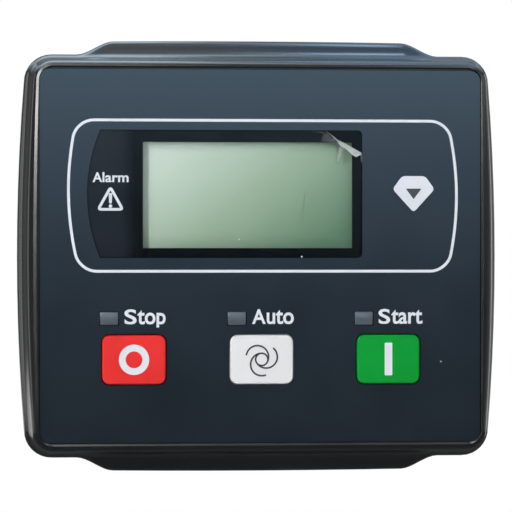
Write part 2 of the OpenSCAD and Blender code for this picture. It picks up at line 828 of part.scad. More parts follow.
module board_header() {
  color([0.14, 0.14, 0.15]) {
    at(0, link_z) plate(link_y, main_board_y) square([link_l, link_w], center = true);
    for (place = link_places) at(place[0], place[1])
      plate(standoff_y + link_floor + link_tip_gap, link_y) square(link_pin_w, center = true);
  }
}

module main_board() {
  color([0.1, 0.38, 0.22]) board_blank(main_board_y);
}

module main_board_screws() {
  color([0.75, 0.75, 0.77]) four_corners(standoff_x, standoff_z) {
    rod(parts_y, parts_y + board_screw_head_h, board_screw_head_d);
    rod(parts_y - stud_l, parts_y, board_screw_d);
  }
}

// Parts on the main board
module relay(side) {
  color([0.1, 0.2, 0.45]) at(side * relay_pitch / 2, 0) plate(parts_y, parts_y + relay_h)
    square([relay_w, relay_l], center = true);
}

module crank_relay() {
  relay(-1);
}

module fuel_relay() {
  relay(1);
}

module input_capacitors() {
  color([0.15, 0.15, 0.2]) for (side = [-1, 1])
    at(capacitor_x, side * capacitor_pitch / 2) rod(parts_y, parts_y + capacitor_h, capacitor_d);
}

// A drum core: two flanges with a waist that holds the winding
module power_inductor() {
  top_y = parts_y + inductor_h;
  color([0.3, 0.28, 0.27]) at(supply_x, inductor_z) {
    rod(parts_y, parts_y + inductor_flange_t, inductor_d);
    rod(parts_y + inductor_flange_t, top_y - inductor_flange_t, inductor_waist_d);
    rod(top_y - inductor_flange_t, top_y, inductor_d);
  }
}

module voltage_regulator() {
  color([0.13, 0.13, 0.14]) at(supply_x, -regulator_drop) plate(parts_y, parts_y + regulator_h)
    square(regulator_side, center = true);
}

module microcontroller() {
  color([0.11, 0.11, 0.12]) at(chip_x, chip_z) plate(main_board_y - chip_h, main_board_y)
    square(chip_side, center = true);
}

module crystal() {
  color([0.8, 0.8, 0.82]) at(-crystal_shift, chip_z) plate(main_board_y - crystal_h, main_board_y)
    rounded_rect(crystal_l, crystal_w, crystal_r);
}

module optocouplers() {
  color([0.9, 0.9, 0.88]) for (k = [0 : coupler_count - 1])
    at((k - (coupler_count - 1) / 2) * coupler_pitch, -terminal_z)
      plate(main_board_y - coupler_h, main_board_y) square([coupler_w, coupler_l], center = true);
}

// Terminals: headers on the main board, plugs that close the rear openings
function terminal_l(count) = count * terminal_pitch + 2 * terminal_margin;
function terminal_x(k, count) = (k - (count - 1) / 2) * terminal_pitch;
pin_end_y = parts_y + header_floor + pin_l;

module terminal_header(count) {
  length = terminal_l(count);
  color([0.15, 0.45, 0.25]) {
    difference() {
      plate(parts_y, header_end_y) square([length, header_w], center = true);
      plate(parts_y + header_floor, header_end_y + past)
        square([length - 2 * header_wall, header_w - 2 * header_wall], center = true);
    }
    for (k = [0 : count - 1]) at(terminal_x(k, count), 0)
      rod(parts_y + header_floor, pin_end_y, pin_d);
  }
}

module terminal_plug(count) {
  length = terminal_l(count);
  tongue_gap = 2 * header_wall + 2 * plug_gap;
  tongue_y = parts_y + header_floor + plug_gap;
  color([0.15, 0.5, 0.27]) difference() {
    union() {
      plate(header_end_y, plug_end_y) square([length, header_w], center = true);
      plate(tongue_y, header_end_y) square([length - tongue_gap, header_w - tongue_gap], center = true);
    }
    for (k = [0 : count - 1]) at(terminal_x(k, count), 0) {
      rod(tongue_y - past, pin_end_y + pin_gap, pin_d + 2 * pin_gap);
      at(0, wire_rise) plate(plug_end_y - wire_depth, plug_end_y + past) square(wire_w, center = true);
      at(0, -terminal_screw_drop)
        rod(plug_end_y - terminal_screw_sink - terminal_screw_l, plug_end_y + past,
            terminal_screw_d + 2 * screw_gap);
    }
  }
}

module terminal_screw_row(count) {
  top_y = plug_end_y - terminal_screw_sink;
  for (k = [0 : count - 1]) at(terminal_x(k, count), -terminal_screw_drop) difference() {
    rod(top_y - terminal_screw_l, top_y, terminal_screw_d);
    plate(top_y - terminal_slot_w, top_y + past)
      square([2 * terminal_screw_d, terminal_slot_w], center = true);
  }
}

module input_terminal_header() {
  at(input_x, terminal_z) terminal_header(input_count);
}

module output_terminal_header() {
  at(0, -terminal_z) terminal_header(output_count);
}

module input_terminal_plug() {
  at(input_x, terminal_z) terminal_plug(input_count);
}

module output_terminal_plug() {
  at(0, -terminal_z) terminal_plug(output_count);
}

module terminal_screws() {
  color([0.75, 0.75, 0.77]) {
    at(input_x, terminal_z) terminal_screw_row(input_count);
    at(0, -terminal_z) terminal_screw_row(output_count);
  }
}

// A square shell with a tongue in its middle
module programming_socket() {
  inner_socket_w = socket_w - 2 * socket_wall;
  inner_socket_h = socket_h - 2 * socket_wall;
  end_y = parts_y + socket_l;
  color([0.75, 0.75, 0.77]) at(socket_x, terminal_z) {
    difference() {
      plate(parts_y, end_y) square([socket_w, socket_h], center = true);
      plate(end_y - inner_socket_h, end_y + past) square([inner_socket_w, inner_socket_h], center = true);
    }
    plate(end_y - inner_socket_h, end_y - socket_wall)
      square([socket_tongue_w, socket_tongue_h], center = true);
  }
}

// Rear case, its screws and the gasket
module rear_case() {
  rear_y = case_d - case_wall;
  slot_y = clip_y + (clip_l - hook_t) / 2;
  color([0.13, 0.13, 0.14]) difference() {
    union() {
      plate(flange_y, case_d) rounded_rect(case_w, case_h, case_r);
      plate(flange_y, bezel_rear_y) rounded_rect(flange_w, flange_h, facia_r - flange_gap);
    }
    plate(flange_y - past, rear_y) square([inner_w, inner_h], center = true);
    plate(rear_y - past, case_d + past) {
      translate([input_x, terminal_z])
        square([terminal_l(input_count) + 2 * rear_gap, header_w + 2 * rear_gap], center = true);
      translate([0, -terminal_z])
        square([terminal_l(output_count) + 2 * rear_gap, header_w + 2 * rear_gap], center = true);
      translate([socket_x, terminal_z])
        square([socket_w + 2 * rear_gap, socket_h + 2 * rear_gap], center = true);
    }
    for (k = [0 : vent_count - 1]) translate([(k - (vent_count - 1) / 2) * vent_pitch, vent_y, 0])
      cube([vent_w, vent_l, case_h + 2 * past], center = true);
    translate([0, slot_y + (hook_t - hook_barb) / 2, 0])
      cube([case_w + 2 * past, hook_t + hook_barb + 2 * hook_gap, hook_w + 2 * hook_gap], center = true);
    four_corners(case_screw_x, case_screw_z) {
      rod(flange_y - past, bezel_rear_y + past, case_screw_d + 2 * board_hole_gap);
      rod(bezel_rear_y - case_head_h, bezel_rear_y + past, case_head_d + 2 * screw_gap);
    }
  }
}

module case_screws() {
  color([0.7, 0.7, 0.72]) four_corners(case_screw_x, case_screw_z) {
    rod(bezel_rear_y - case_head_h, bezel_rear_y, case_head_d);
    rod(bezel_rear_y - case_head_h - case_screw_l, bezel_rear_y - case_head_h, case_screw_d);
  }
}

module panel_gasket() {
  color([0.16, 0.16, 0.16]) plate(bezel_rear_y, 0) difference() {
    rounded_rect(bezel_w - 2 * side_bow - 2 * gasket_margin, bezel_h - 2 * gasket_margin,
                 bezel_corner_r - gasket_margin);
    square([case_w + 2 * gasket_gap, case_h + 2 * gasket_gap], center = true);
  }
}

// Fixing clips: a nut block with a foot along the case and a hook through the case wall
module fixing_clip(side) {
  wall_x = case_w / 2;
  slot_y = clip_y + (clip_l - hook_t) / 2;
  hook_x = wall_x - case_wall - hook_reach;
  color([0.2, 0.2, 0.21]) mirror([side < 0 ? 1 : 0, 0, 0]) difference() {
    union() {
      translate([wall_x, clip_y, -clip_w / 2]) cube([clip_h, clip_l, clip_w]);
      translate([wall_x, clip_y - clip_foot_l, -clip_w / 2]) cube([clip_foot_t, clip_foot_l, clip_w]);
      translate([hook_x, slot_y, -hook_w / 2]) cube([wall_x - hook_x, hook_t, hook_w]);
      translate([hook_x, slot_y, -hook_w / 2]) cube([hook_reach, hook_t + hook_barb, hook_w]);
    }
    at(wall_x + clip_screw_out, 0)
      rod(clip_y - past, clip_y + clip_l + past, clip_screw_d + 2 * screw_gap);
  }
}

module left_fixing_clip() {
  fixing_clip(-1);
}

module right_fixing_clip() {
  fixing_clip(1);
}

module clip_screws() {
  head_y = panel_max + clip_screw_l;
  color([0.75, 0.75, 0.77]) for (side = [-1, 1]) at(side * (case_w / 2 + clip_screw_out), 0) {
    rod(panel_max, head_y, clip_screw_d);
    difference() {
      rod(head_y, head_y + clip_head_h, clip_head_d);
      plate(head_y + clip_head_h / 2, head_y + clip_head_h + past)
        square([2 * clip_head_d, clip_slot_w], center = true);
    }
  }
}

front_bezel();
facia_overlay();
display_window();
window_film();
stop_button();
auto_button();
start_button();
scroll_button();
stop_switch_stem();
auto_switch_stem();
start_switch_stem();
scroll_switch_stem();
key_switches();
stop_light_pipe();
auto_light_pipe();
start_light_pipe();
alarm_light_pipe();
status_leds();
lcd_glass();
lcd_backlight();
lcd_pins();
display_board();
board_standoffs();
board_socket();
board_header();
main_board();
main_board_screws();
crank_relay();
fuel_relay();
input_capacitors();
power_inductor();
voltage_regulator();
microcontroller();
crystal();
optocouplers();
input_terminal_header();
output_terminal_header();
input_terminal_plug();
output_terminal_plug();
terminal_screws();
programming_socket();
rear_case();
case_screws();
panel_gasket();
left_fixing_clip();
right_fixing_clip();
clip_screws();
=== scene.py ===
"""Genset controller: finishes, printed signs, keys and the studio stage around the packed frame."""

import json
import math

import bmesh
import bpy
from bpy.props import FloatProperty, FloatVectorProperty, PointerProperty
from bpy.types import Operator, Panel, PropertyGroup
from mathutils import Matrix, Vector


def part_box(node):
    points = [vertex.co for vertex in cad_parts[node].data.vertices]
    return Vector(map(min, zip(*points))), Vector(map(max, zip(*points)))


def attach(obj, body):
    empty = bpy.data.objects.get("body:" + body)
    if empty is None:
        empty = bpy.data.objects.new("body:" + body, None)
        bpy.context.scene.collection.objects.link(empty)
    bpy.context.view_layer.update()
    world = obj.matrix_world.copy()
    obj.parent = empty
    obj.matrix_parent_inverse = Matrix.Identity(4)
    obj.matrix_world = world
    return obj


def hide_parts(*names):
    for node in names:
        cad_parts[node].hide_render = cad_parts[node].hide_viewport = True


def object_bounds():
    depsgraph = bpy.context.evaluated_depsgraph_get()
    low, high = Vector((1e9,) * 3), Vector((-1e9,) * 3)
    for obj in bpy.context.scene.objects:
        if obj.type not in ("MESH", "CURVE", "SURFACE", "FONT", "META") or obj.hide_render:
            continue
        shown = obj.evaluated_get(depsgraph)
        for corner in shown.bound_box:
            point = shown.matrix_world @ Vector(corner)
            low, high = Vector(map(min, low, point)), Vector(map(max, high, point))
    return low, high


bl_info = {
    "name": "Genset Controller Dressing",
    "version": (1, 0, 0),
    "blender": (4, 5, 0),
    "location": "View3D > Sidebar > Controller",
    "description": "Finishes, printed signs, keys and studio stage of a genset controller",
    "category": "Object",
}

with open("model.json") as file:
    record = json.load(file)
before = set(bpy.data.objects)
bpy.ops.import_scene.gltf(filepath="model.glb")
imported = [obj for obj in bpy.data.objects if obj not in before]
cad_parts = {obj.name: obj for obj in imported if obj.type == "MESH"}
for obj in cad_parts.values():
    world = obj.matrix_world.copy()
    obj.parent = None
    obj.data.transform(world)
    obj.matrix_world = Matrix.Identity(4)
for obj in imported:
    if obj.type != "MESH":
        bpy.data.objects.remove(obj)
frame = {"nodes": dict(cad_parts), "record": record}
CAD_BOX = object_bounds()
MM = 0.001

# Places that the packed solids give
FACIA_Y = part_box("facia_overlay")[0][1]
WINDOW_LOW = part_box("display_window")[0]
WINDOW_Y = WINDOW_LOW[1]
FILM_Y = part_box("window_film")[0][1]
DISPLAY_LOW, DISPLAY_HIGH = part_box("lcd_glass")
NODE_SLOTS = {part["node"]: part["material_slot"] for part in frame["record"]["subparts"]}


def length(name, description, millimetres):
    """A length that a user may change, in metres, from its size in millimetres."""
    return FloatProperty(
        name=name, description=description, default=millimetres * MM, unit="LENGTH", precision=5)


def colour(name, description, value):
    """A colour that a user may change, in linear light."""
    return FloatVectorProperty(
        name=name, description=description, default=value, subtype="COLOR", min=0, max=1)


class PrintSettings(PropertyGroup):
    """Sizes and colours of what is printed on the facia and the window."""

    ink_height: length("Ink height", "How far the print stands above its sheet", 0.04)
    line_width: length("Line width", "Width of the white frame line", 0.56)
    line_middle: length("Frame middle", "Place of the frame line's middle to the right", 0.42)
    line_half_width: length("Frame half width", "From the middle to the frame line's corners", 37.67)
    line_bow: length("Frame bow", "How far the frame line's sides bow outwards", 1.98)
    line_lean: length("Frame lean", "How far the left side's lower end leans inwards", 0.3)
    line_top: length("Frame top", "Height of the frame line's top edge", 27.62)
    line_bottom: length("Frame bottom", "Height of the frame line's bottom edge", -3.35)
    line_corner: length("Frame corner", "Size of the frame line's rounded corners", 3.6)
    cap_height: length("Legend height", "Height of a key legend's capital letter", 2.95)
    legend_base: length("Legend base", "Height of the key legends' base line", -13.66)
    alarm_cap: length("Alarm word height", "Height of the alarm word's capital letter", 1.97)
    alarm_base: length("Alarm word base", "Height of the alarm word's base line", 14.88)
    white: colour("White ink", "Ink of the frame line, legends and signs", (0.76, 0.79, 0.86))
    dark: colour("Dark ink", "Ink of the mark in the scroll sign", (0.045, 0.05, 0.055))


class KeySettings(PropertyGroup):
    """Shapes and colours of the coloured keys and their symbols."""

    corner: length("Corner", "Radius of a key's corners", 1.5)
    edge: length("Edge", "Rounding of a key's front edge", 0.42)
    lip: length("Lip", "How far the hidden lip stands out round a key", 0.5)
    lip_height: length("Lip height", "Thickness of the hidden lip", 0.6)
    ring_outer: length("Ring", "Outer radius of the stop ring", 3.05)
    ring_stroke: length("Ring stroke", "Stroke of the stop ring", 1.36)
    bar_width: length("Bar width", "Width of the start bar", 1.55)
    bar_height: length("Bar height", "Height of the start bar", 6.6)
    swirl_ring: length("Swirl ring", "Radius of the ring in the auto symbol", 1.24)
    swirl_arm: length("Swirl arm", "Radius of the three arms of the auto symbol", 2.27)
    swirl_stroke: length("Swirl stroke", "Stroke of the auto symbol", 0.33)
    red: colour("Stop red", "Colour of the stop key", (0.85, 0.036, 0.034))
    white: colour("Auto white", "Colour of the auto key", (0.82, 0.83, 0.84))
    green: colour("Start green", "Colour of the start key", (0.003, 0.34, 0.038))
    ink: colour("Symbol ink", "Ink of the auto symbol", (0.03, 0.03, 0.032))


class FinishSettings(PropertyGroup):
    """Colours of the mouldings, the facia and the display."""

    plastic: colour("Bezel", "Satin black moulding", (0.0095, 0.0105, 0.012))
    facia: colour("Facia", "Dark blue-grey printed sheet", (0.0105, 0.0165, 0.024))
    window: colour("Window", "Black mask round the display", (0.001, 0.002, 0.003))
    smoke: colour("Smoke", "Smoked end of the window round the alarm sign", (0.012, 0.016, 0.022))
    lens: colour("Lens", "Grey status windows", (0.085, 0.108, 0.13))
    view_width: length("View width", "Width of the display's clear field", 42.6)
    view_height: length("View height", "Height of the display's clear field", 21.4)
    view_middle: length("View middle", "Height of the middle of the display's clear field", 12.3)
    # The display's colour runs from pale at its upper left to deep at its lower right: painted light and
    # shade for how the display looks lit and seen at an angle
    display_painted_light: colour("Display, pale end", "Display at its upper left", (0.75, 0.89, 0.775))
    display_middle: colour("Display, middle", "Display at its middle", (0.38, 0.527, 0.37))
    display_painted_shade: colour("Display, deep end", "Display at its lower right", (0.13, 0.258, 0.145))


class StageSettings(PropertyGroup):
    """Camera, lamps and floor of the studio."""

    camera_distance: length("Camera distance", "From the middle of the controller to the camera", 720)
    camera_turn: FloatProperty(
        name="Camera turn", description="How far the camera stands to the left of the front",
        default=math.radians(6), subtype="ANGLE")
    camera_lens: FloatProperty(
        name="Lens", description="Focal length in millimetres on a sensor 36 mm wide", default=247.2)
    floor_drop: length("Floor drop", "From the lowest point of the controller down to the floor", 60)
    floor: colour("Floor", "Pale floor", (0.82, 0.82, 0.82))
    ambient: FloatProperty(
        name="Ambient", description="Level of the even light from all round", default=0.46)
    key_power: FloatProperty(
        name="Key lamp", description="Power of the tall soft lamp at the left", default=2.75, unit="POWER")
    back_power: FloatProperty(
        name="Back lamp", description="Power of the soft lamp behind", default=5.0, unit="POWER")


# Finishes: procedural materials on object coordinates, kept by name

FINISHES = {}
# Most of a noise lies between these two values
NOISE_LOW = 0.3
NOISE_HIGH = 0.7


def add_node(tree, kind, **settings):
    """Add a node; a setting with the name of an input sets that input, or joins it to an output."""
    node = tree.nodes.new(kind)
    for key, value in settings.items():
        socket = node.inputs.get(key.replace("_", " ").title())
        if socket is None:
            setattr(node, key, value)
        elif isinstance(value, bpy.types.NodeSocket):
            tree.links.new(value, socket)
        else:
            socket.default_value = value
    return node


def start_finish(name, roughness, **sockets):
    """Start a material; returns its node tree, its shader and its object coordinates."""
    material = bpy.data.materials.new(name)
    FINISHES[name] = material
    material.use_nodes = True
    tree = material.node_tree
    shader = tree.nodes["Principled BSDF"]
    shader.inputs["Roughness"].default_value = roughness
    for key, value in sockets.items():
        shader.inputs[key.replace("_", " ")].default_value = value
    coords = add_node(tree, "ShaderNodeTexCoord")
    return tree, shader, coords.outputs["Object"]


def noise(tree, coords, size, detail=2.0):
    """Noise whose grains have the given size in metres."""
    node = add_node(tree, "ShaderNodeTexNoise", vector=coords, scale=1 / size, detail=detail)
    return node.outputs["Fac"]


def ramp(tree, factor, stops):
    """A colour ramp through the given places and linear colours."""
    node = add_node(tree, "ShaderNodeValToRGB", fac=factor)
    elements = node.color_ramp.elements
    while len(elements) < len(stops):
        elements.new(1.0)
    for element, (place, value) in zip(elements, stops):
        element.position = place
        element.color = (*value[:3], 1.0)
    return node.outputs["Color"]


def blend(tree, factor, low, high):
    """A colour that goes with a noise from one linear colour to another."""
    return ramp(tree, factor, [(NOISE_LOW, low), (NOISE_HIGH, high)])


def spread(tree, factor, low, high):
    """A value that goes with a noise from low to high."""
    node = add_node(
        tree, "ShaderNodeMapRange", value=factor,
        from_min=NOISE_LOW, from_max=NOISE_HIGH, to_min=low, to_max=high)
    return node.outputs["Result"]


def shade(value, factor):
    """A colour made lighter or darker."""
    return tuple(min(1.0, channel * factor) for channel in value[:3])


def bumped(tree, shader, height, depth):
    """Join a height to the shader's normal."""
    node = add_node(tree, "ShaderNodeBump", height=height, strength=0.6, distance=depth)
    tree.links.new(node.outputs["Normal"], shader.inputs["Normal"])


def moulded(name, value, roughness, grain=0.25, depth=0.006, patch=9.0, change=0.1, **sockets):
    """A moulding: a fine grain, a slightly uneven gloss and colour. Grain, depth and patch are in mm."""
    tree, shader, coords = start_finish(name, roughness, **sockets)
    patches = noise(tree, coords, patch * MM, 3.0)
    grains = noise(tree, coords, grain * MM)
    tone = blend(tree, patches, shade(value, 1 - change), shade(value, 1 + change))
    tree.links.new(tone, shader.inputs["Base Color"])
    tree.links.new(spread(tree, patches, roughness * 0.9, roughness * 1.1), shader.inputs["Roughness"])
    bumped(tree, shader, grains, depth * MM)


def brushed(name, value, roughness):
    """Bright metal with fine strokes, which are long across and upwards and narrow in depth."""
    tree, shader, coords = start_finish(name, roughness, Metallic=1.0)
    stroke = (12 * MM, 0.12 * MM, 12 * MM)
    mapping = add_node(tree, "ShaderNodeMapping", vector=coords, scale=[1 / side for side in stroke])
    strokes = noise(tree, mapping.outputs["Vector"], 1.0, 3.0)
    tone = blend(tree, strokes, shade(value, 0.85), shade(value, 1.1))
    tree.links.new(tone, shader.inputs["Base Color"])
    tree.links.new(spread(tree, strokes, roughness * 0.8, roughness * 1.25), shader.inputs["Roughness"])
    bumped(tree, shader, strokes, 0.004 * MM)


def inside(tree, coords, low, high):
    """1 inside a rectangle of the front, from its lowest to its highest corner, and 0 outside."""
    axes = add_node(tree, "ShaderNodeSeparateXYZ", vector=coords)
    tests = []
    for axis, index in (("X", 0), ("Z", 2)):
        test = add_node(tree, "ShaderNodeMath", operation="COMPARE", value=axes.outputs[axis])
        test.inputs[1].default_value = (low[index] + high[index]) / 2
        test.inputs[2].default_value = (high[index] - low[index]) / 2
        tests.append(test.outputs["Value"])
    both = add_node(tree, "ShaderNodeMath", operation="MULTIPLY", value=tests[0])
    tree.links.new(tests[1], both.inputs[1])
    return both.outputs["Value"]


def masked_window(smoke, mask, low, high):
    """Gloss acrylic, smoked at its left and black round the display, with a clear field over it."""
    tree, shader, coords = start_finish("window_acrylic", 0.12, IOR=1.49, Specular_IOR_Level=0.14)
    axes = add_node(tree, "ShaderNodeSeparateXYZ", vector=coords)
    across = add_node(
        tree, "ShaderNodeMapRange", value=axes.outputs["X"], from_min=WINDOW_LOW[0], from_max=low[0])
    stops = [(0.6, smoke), (0.85, mask)]
    tree.links.new(ramp(tree, across.outputs["Result"], stops), shader.inputs["Base Color"])
    clear = inside(tree, coords, low, high)
    cover = add_node(tree, "ShaderNodeMapRange", value=clear, to_min=1.0, to_max=0.02)
    tree.links.new(cover.outputs["Result"], shader.inputs["Alpha"])
    bumped(tree, shader, noise(tree, coords, 4 * MM), 0.001 * MM)


def display_face(settings, low, high):
    """Unlit display: grey-green with a fine grain, with painted light at its upper left and painted shade
    at its lower right.
    """
    # How far the painted light-to-shade gradient runs across and down the display
    across_share, down_share = 0.62, 0.38
    tree, shader, coords = start_finish("display_glass", 0.2, IOR=1.5)
    mapping = add_node(
        tree, "ShaderNodeMapping", vector_type="TEXTURE", vector=coords,
        location=(low[0], 0, high[2]), scale=(high[0] - low[0], 1, low[2] - high[2]))
    axes = add_node(tree, "ShaderNodeSeparateXYZ", vector=mapping.outputs["Vector"])
    across = add_node(tree, "ShaderNodeMath", operation="MULTIPLY", value=axes.outputs["X"])
    across.inputs[1].default_value = across_share
    painted_shade_slope = add_node(tree, "ShaderNodeMath", operation="MULTIPLY_ADD", value=axes.outputs["Z"])
    painted_shade_slope.inputs[1].default_value = down_share
    tree.links.new(across.outputs["Value"], painted_shade_slope.inputs[2])
    # Painted light at the upper left, through the middle, to painted shade at the lower right
    stops = [(0.05, settings.display_painted_light), (0.5, settings.display_middle), (0.9, settings.display_painted_shade)]
    tree.links.new(ramp(tree, painted_shade_slope.outputs["Value"], stops), shader.inputs["Base Color"])
    bumped(tree, shader, noise(tree, coords, 0.4 * MM), 0.002 * MM)


def torn_film():
    """The film: clear with a faint haze."""
    tree, shader, coords = start_finish("clear_film", 0.12, IOR=1.4)
    haze = noise(tree, coords, 7 * MM, 4.0)
    tone = blend(tree, haze, (0.2, 0.22, 0.24), (0.3, 0.33, 0.35))
    tree.links.new(tone, shader.inputs["Base Color"])
    tree.links.new(spread(tree, haze, 0.004, 0.014), shader.inputs["Alpha"])
    bumped(tree, shader, haze, 0.003 * MM)


def creased_film(name, pale, dark, cover):
    """The film where it is stretched white or folded over, between two colours and two covers."""
    tree, shader, coords = start_finish(name, 0.35, IOR=1.45)
    folds = noise(tree, coords, 0.6 * MM, 3.0)
    tree.links.new(blend(tree, folds, dark, pale), shader.inputs["Base Color"])
    tree.links.new(spread(tree, folds, *cover), shader.inputs["Alpha"])
    bumped(tree, shader, folds, 0.02 * MM)


def solder_mask():
    """A circuit board: green lacquer over copper tracks."""
    tree, shader, coords = start_finish("circuit_board", 0.32)
    turned = add_node(tree, "ShaderNodeMapping", vector=coords, rotation=(math.radians(90), 0, 0))
    tracks = add_node(
        tree, "ShaderNodeTexBrick", vector=turned.outputs["Vector"],
        scale=1 / (5 * MM), mortar_size=0.03, brick_width=0.9, row_height=0.22,
        color1=(0.008, 0.085, 0.03, 1), color2=(0.012, 0.10, 0.036, 1), mortar=(0.02, 0.16, 0.05, 1))
    tree.links.new(tracks.outputs["Color"], shader.inputs["Base Color"])
    bumped(tree, shader, tracks.outputs["Fac"], 0.02 * MM)


def mix_finishes(scene):
    """Make the finish of every material slot, and the inks."""
    tones = scene.finish_settings
    keys = scene.key_settings
    ink = scene.print_settings
    half_view = Vector((tones.view_width / 2, 0, tones.view_height / 2))
    middle = Vector(((DISPLAY_LOW[0] + DISPLAY_HIGH[0]) / 2, 0, tones.view_middle))
    view = (middle - half_view, middle + half_view)
    moulded("bezel_plastic", tones.plastic, 0.17, grain=0.3, depth=0.004)
    moulded("facia_print", tones.facia, 0.2, grain=0.16, depth=0.004, patch=14, change=0.06)
    masked_window(tones.smoke, tones.window, *view)
    torn_film()
    creased_film("creased_film", (0.95, 0.98, 0.98), (0.82, 0.87, 0.88), (0.9, 1.0))
    creased_film("stretched_film", (0.9, 0.97, 0.93), (0.76, 0.86, 0.8), (0.55, 0.8))
    creased_film("folded_film", (0.8, 0.86, 0.84), (0.55, 0.6, 0.58), (0.06, 0.24))
    for name, value, change in (
        ("red_key", keys.red, 0.05), ("white_key", keys.white, 0.02), ("green_key", keys.green, 0.05),
    ):
        moulded(name, value, 0.5, grain=0.2, depth=0.004, change=change, Specular_IOR_Level=0.05)
    moulded("dark_plastic", (0.02, 0.02, 0.022), 0.45, depth=0.01)
    moulded("grey_lens", tones.lens, 0.25, grain=0.4, depth=0.004, change=0.08)
    moulded("pale_plastic", (0.72, 0.72, 0.69), 0.4)
    display_face(tones, *view)
    solder_mask()
    brushed("tinned_metal", (0.62, 0.62, 0.64), 0.28)
    brushed("brass", (0.62, 0.44, 0.16), 0.3)
    moulded("relay_blue", (0.01, 0.03, 0.17), 0.25, grain=0.5)
    moulded("ferrite", (0.06, 0.056, 0.052), 0.75, grain=0.12, depth=0.02)
    moulded("terminal_green", (0.016, 0.19, 0.055), 0.42)
    moulded("gasket_rubber", (0.018, 0.018, 0.018), 0.85, grain=0.5, depth=0.06, change=0.2)
    for name, value, change in (
        ("white_ink", ink.white, 0.02), ("dark_ink", ink.dark, 0.08), ("symbol_ink", keys.ink, 0.1),
    ):
        moulded(name, value, 0.45, grain=0.12, depth=0.003, change=change)


# Making pieces

# A short ascender's share of a capital's height, and the share that is kept of a tail under the line
SHORT_ASCENDER = 0.95
TAIL = 0.6


def as_piece(name, bm, body, finish, scene, sharp=math.radians(35), new_shape=True):
    """Turn a bmesh whose place is in its vertices into a piece that rides on a body."""
    if new_shape:
        bmesh.ops.recalc_face_normals(bm, faces=bm.faces[:])
    mesh = bpy.data.meshes.new(name)
    bm.to_mesh(mesh)
    bm.free()
    if mesh.has_custom_normals:
        mesh.attributes.remove(mesh.attributes["custom_normal"])
    mesh.shade_smooth()
    mesh.set_sharp_from_angle(angle=sharp)
    piece = bpy.data.objects.new(name, mesh)
    scene.collection.objects.link(piece)
    mesh.materials.append(FINISHES[finish])
    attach(piece, body)
    return piece


def to_front(bm, x, y, z):
    """Stand a flat shape up so that it faces the front, with its base at the depth y."""
    bmesh.ops.transform(
        bm, matrix=Matrix.Translation((x, y, z)) @ Matrix.Rotation(math.pi / 2, 4, "X"), verts=bm.verts[:])


def thicken(bm, height):
    """Give flat faces a thickness, with the base at zero."""
    bmesh.ops.solidify(bm, geom=bm.faces[:], thickness=height)
    base = min(vertex.co.z for vertex in bm.verts)
    bmesh.ops.translate(bm, verts=bm.verts[:], vec=(0, 0, -base))


def flat_face(bm, points):
    """A flat face through a few points."""
    return bm.faces.new([bm.verts.new((x, y, 0)) for x, y in points])


def round_corners(bm, face, radius, segments=6):
    """Round the corners of a flat face and return it."""
    others = set(bm.faces) - {face}
    bmesh.ops.bevel(
        bm, geom=list(face.verts), offset=radius, segments=segments, profile=0.5, affect="VERTICES",
        material=-1)
    return max((part for part in bm.faces if part not in others), key=lambda part: part.calc_area())


def hollow_out(bm, face, stroke):
    """Leave only a band of the given stroke along the edge of a flat face."""
    bmesh.ops.inset_region(bm, faces=[face], thickness=stroke, use_boundary=True, use_even_offset=True)
    bmesh.ops.delete(bm, geom=[face], context="FACES")


def rounded_block(bm, width, height, back, front, corner, edge):
    """A block from the depth back to the depth front, with rounded corners and front edge."""
    others = set(bm.edges)
    made = bmesh.ops.create_cube(bm, size=1)["verts"]
    bmesh.ops.scale(bm, vec=(width, height, front - back), verts=made)
    bmesh.ops.translate(bm, vec=(0, 0, (front + back) / 2), verts=made)
    upright = [
        item for item in bm.edges
        if item not in others and item.verts[0].co.xy == item.verts[1].co.xy
    ]
    bmesh.ops.bevel(
        bm, geom=upright, offset=corner, segments=8, profile=0.5, affect="EDGES", material=-1)
    if edge == 0:
        return
    near = front - edge / 2
    rim = [item for item in bm.edges if item not in others and all(end.co.z > near for end in item.verts)]
    bmesh.ops.bevel(
        bm, geom=rim, offset=edge, segments=4, profile=0.5, affect="EDGES", material=-1)


def merged_copy(node):
    """A bmesh of a solid's own shape, with its loose triangles joined."""
    bm = bmesh.new()
    bm.from_mesh(frame["nodes"][node].data)
    bmesh.ops.remove_doubles(bm, verts=bm.verts[:], dist=0.002 * MM)
    return bm


def break_edges(bm, width):
    """Join coplanar triangles, then round the sharp edges a little."""
    flat, sharp = math.radians(0.5), math.radians(40)
    bmesh.ops.dissolve_limit(bm, angle_limit=flat, verts=bm.verts[:], edges=bm.edges[:])
    corners = [edge for edge in bm.edges if edge.is_manifold and edge.calc_face_angle() > sharp]
    bmesh.ops.bevel(
        bm, geom=corners, offset=width, segments=2, profile=0.5, affect="EDGES", material=-1,
        clamp_overlap=True)


def stand_in(node, bm, scene, sharp=math.radians(35)):
    """A piece that stands for a solid of the housing and keeps its form and finish."""
    slot = NODE_SLOTS[node]
    piece = as_piece(f"{node}_shell", bm, "housing", slot, scene, sharp, new_shape=False)
    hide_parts(node)
    return piece


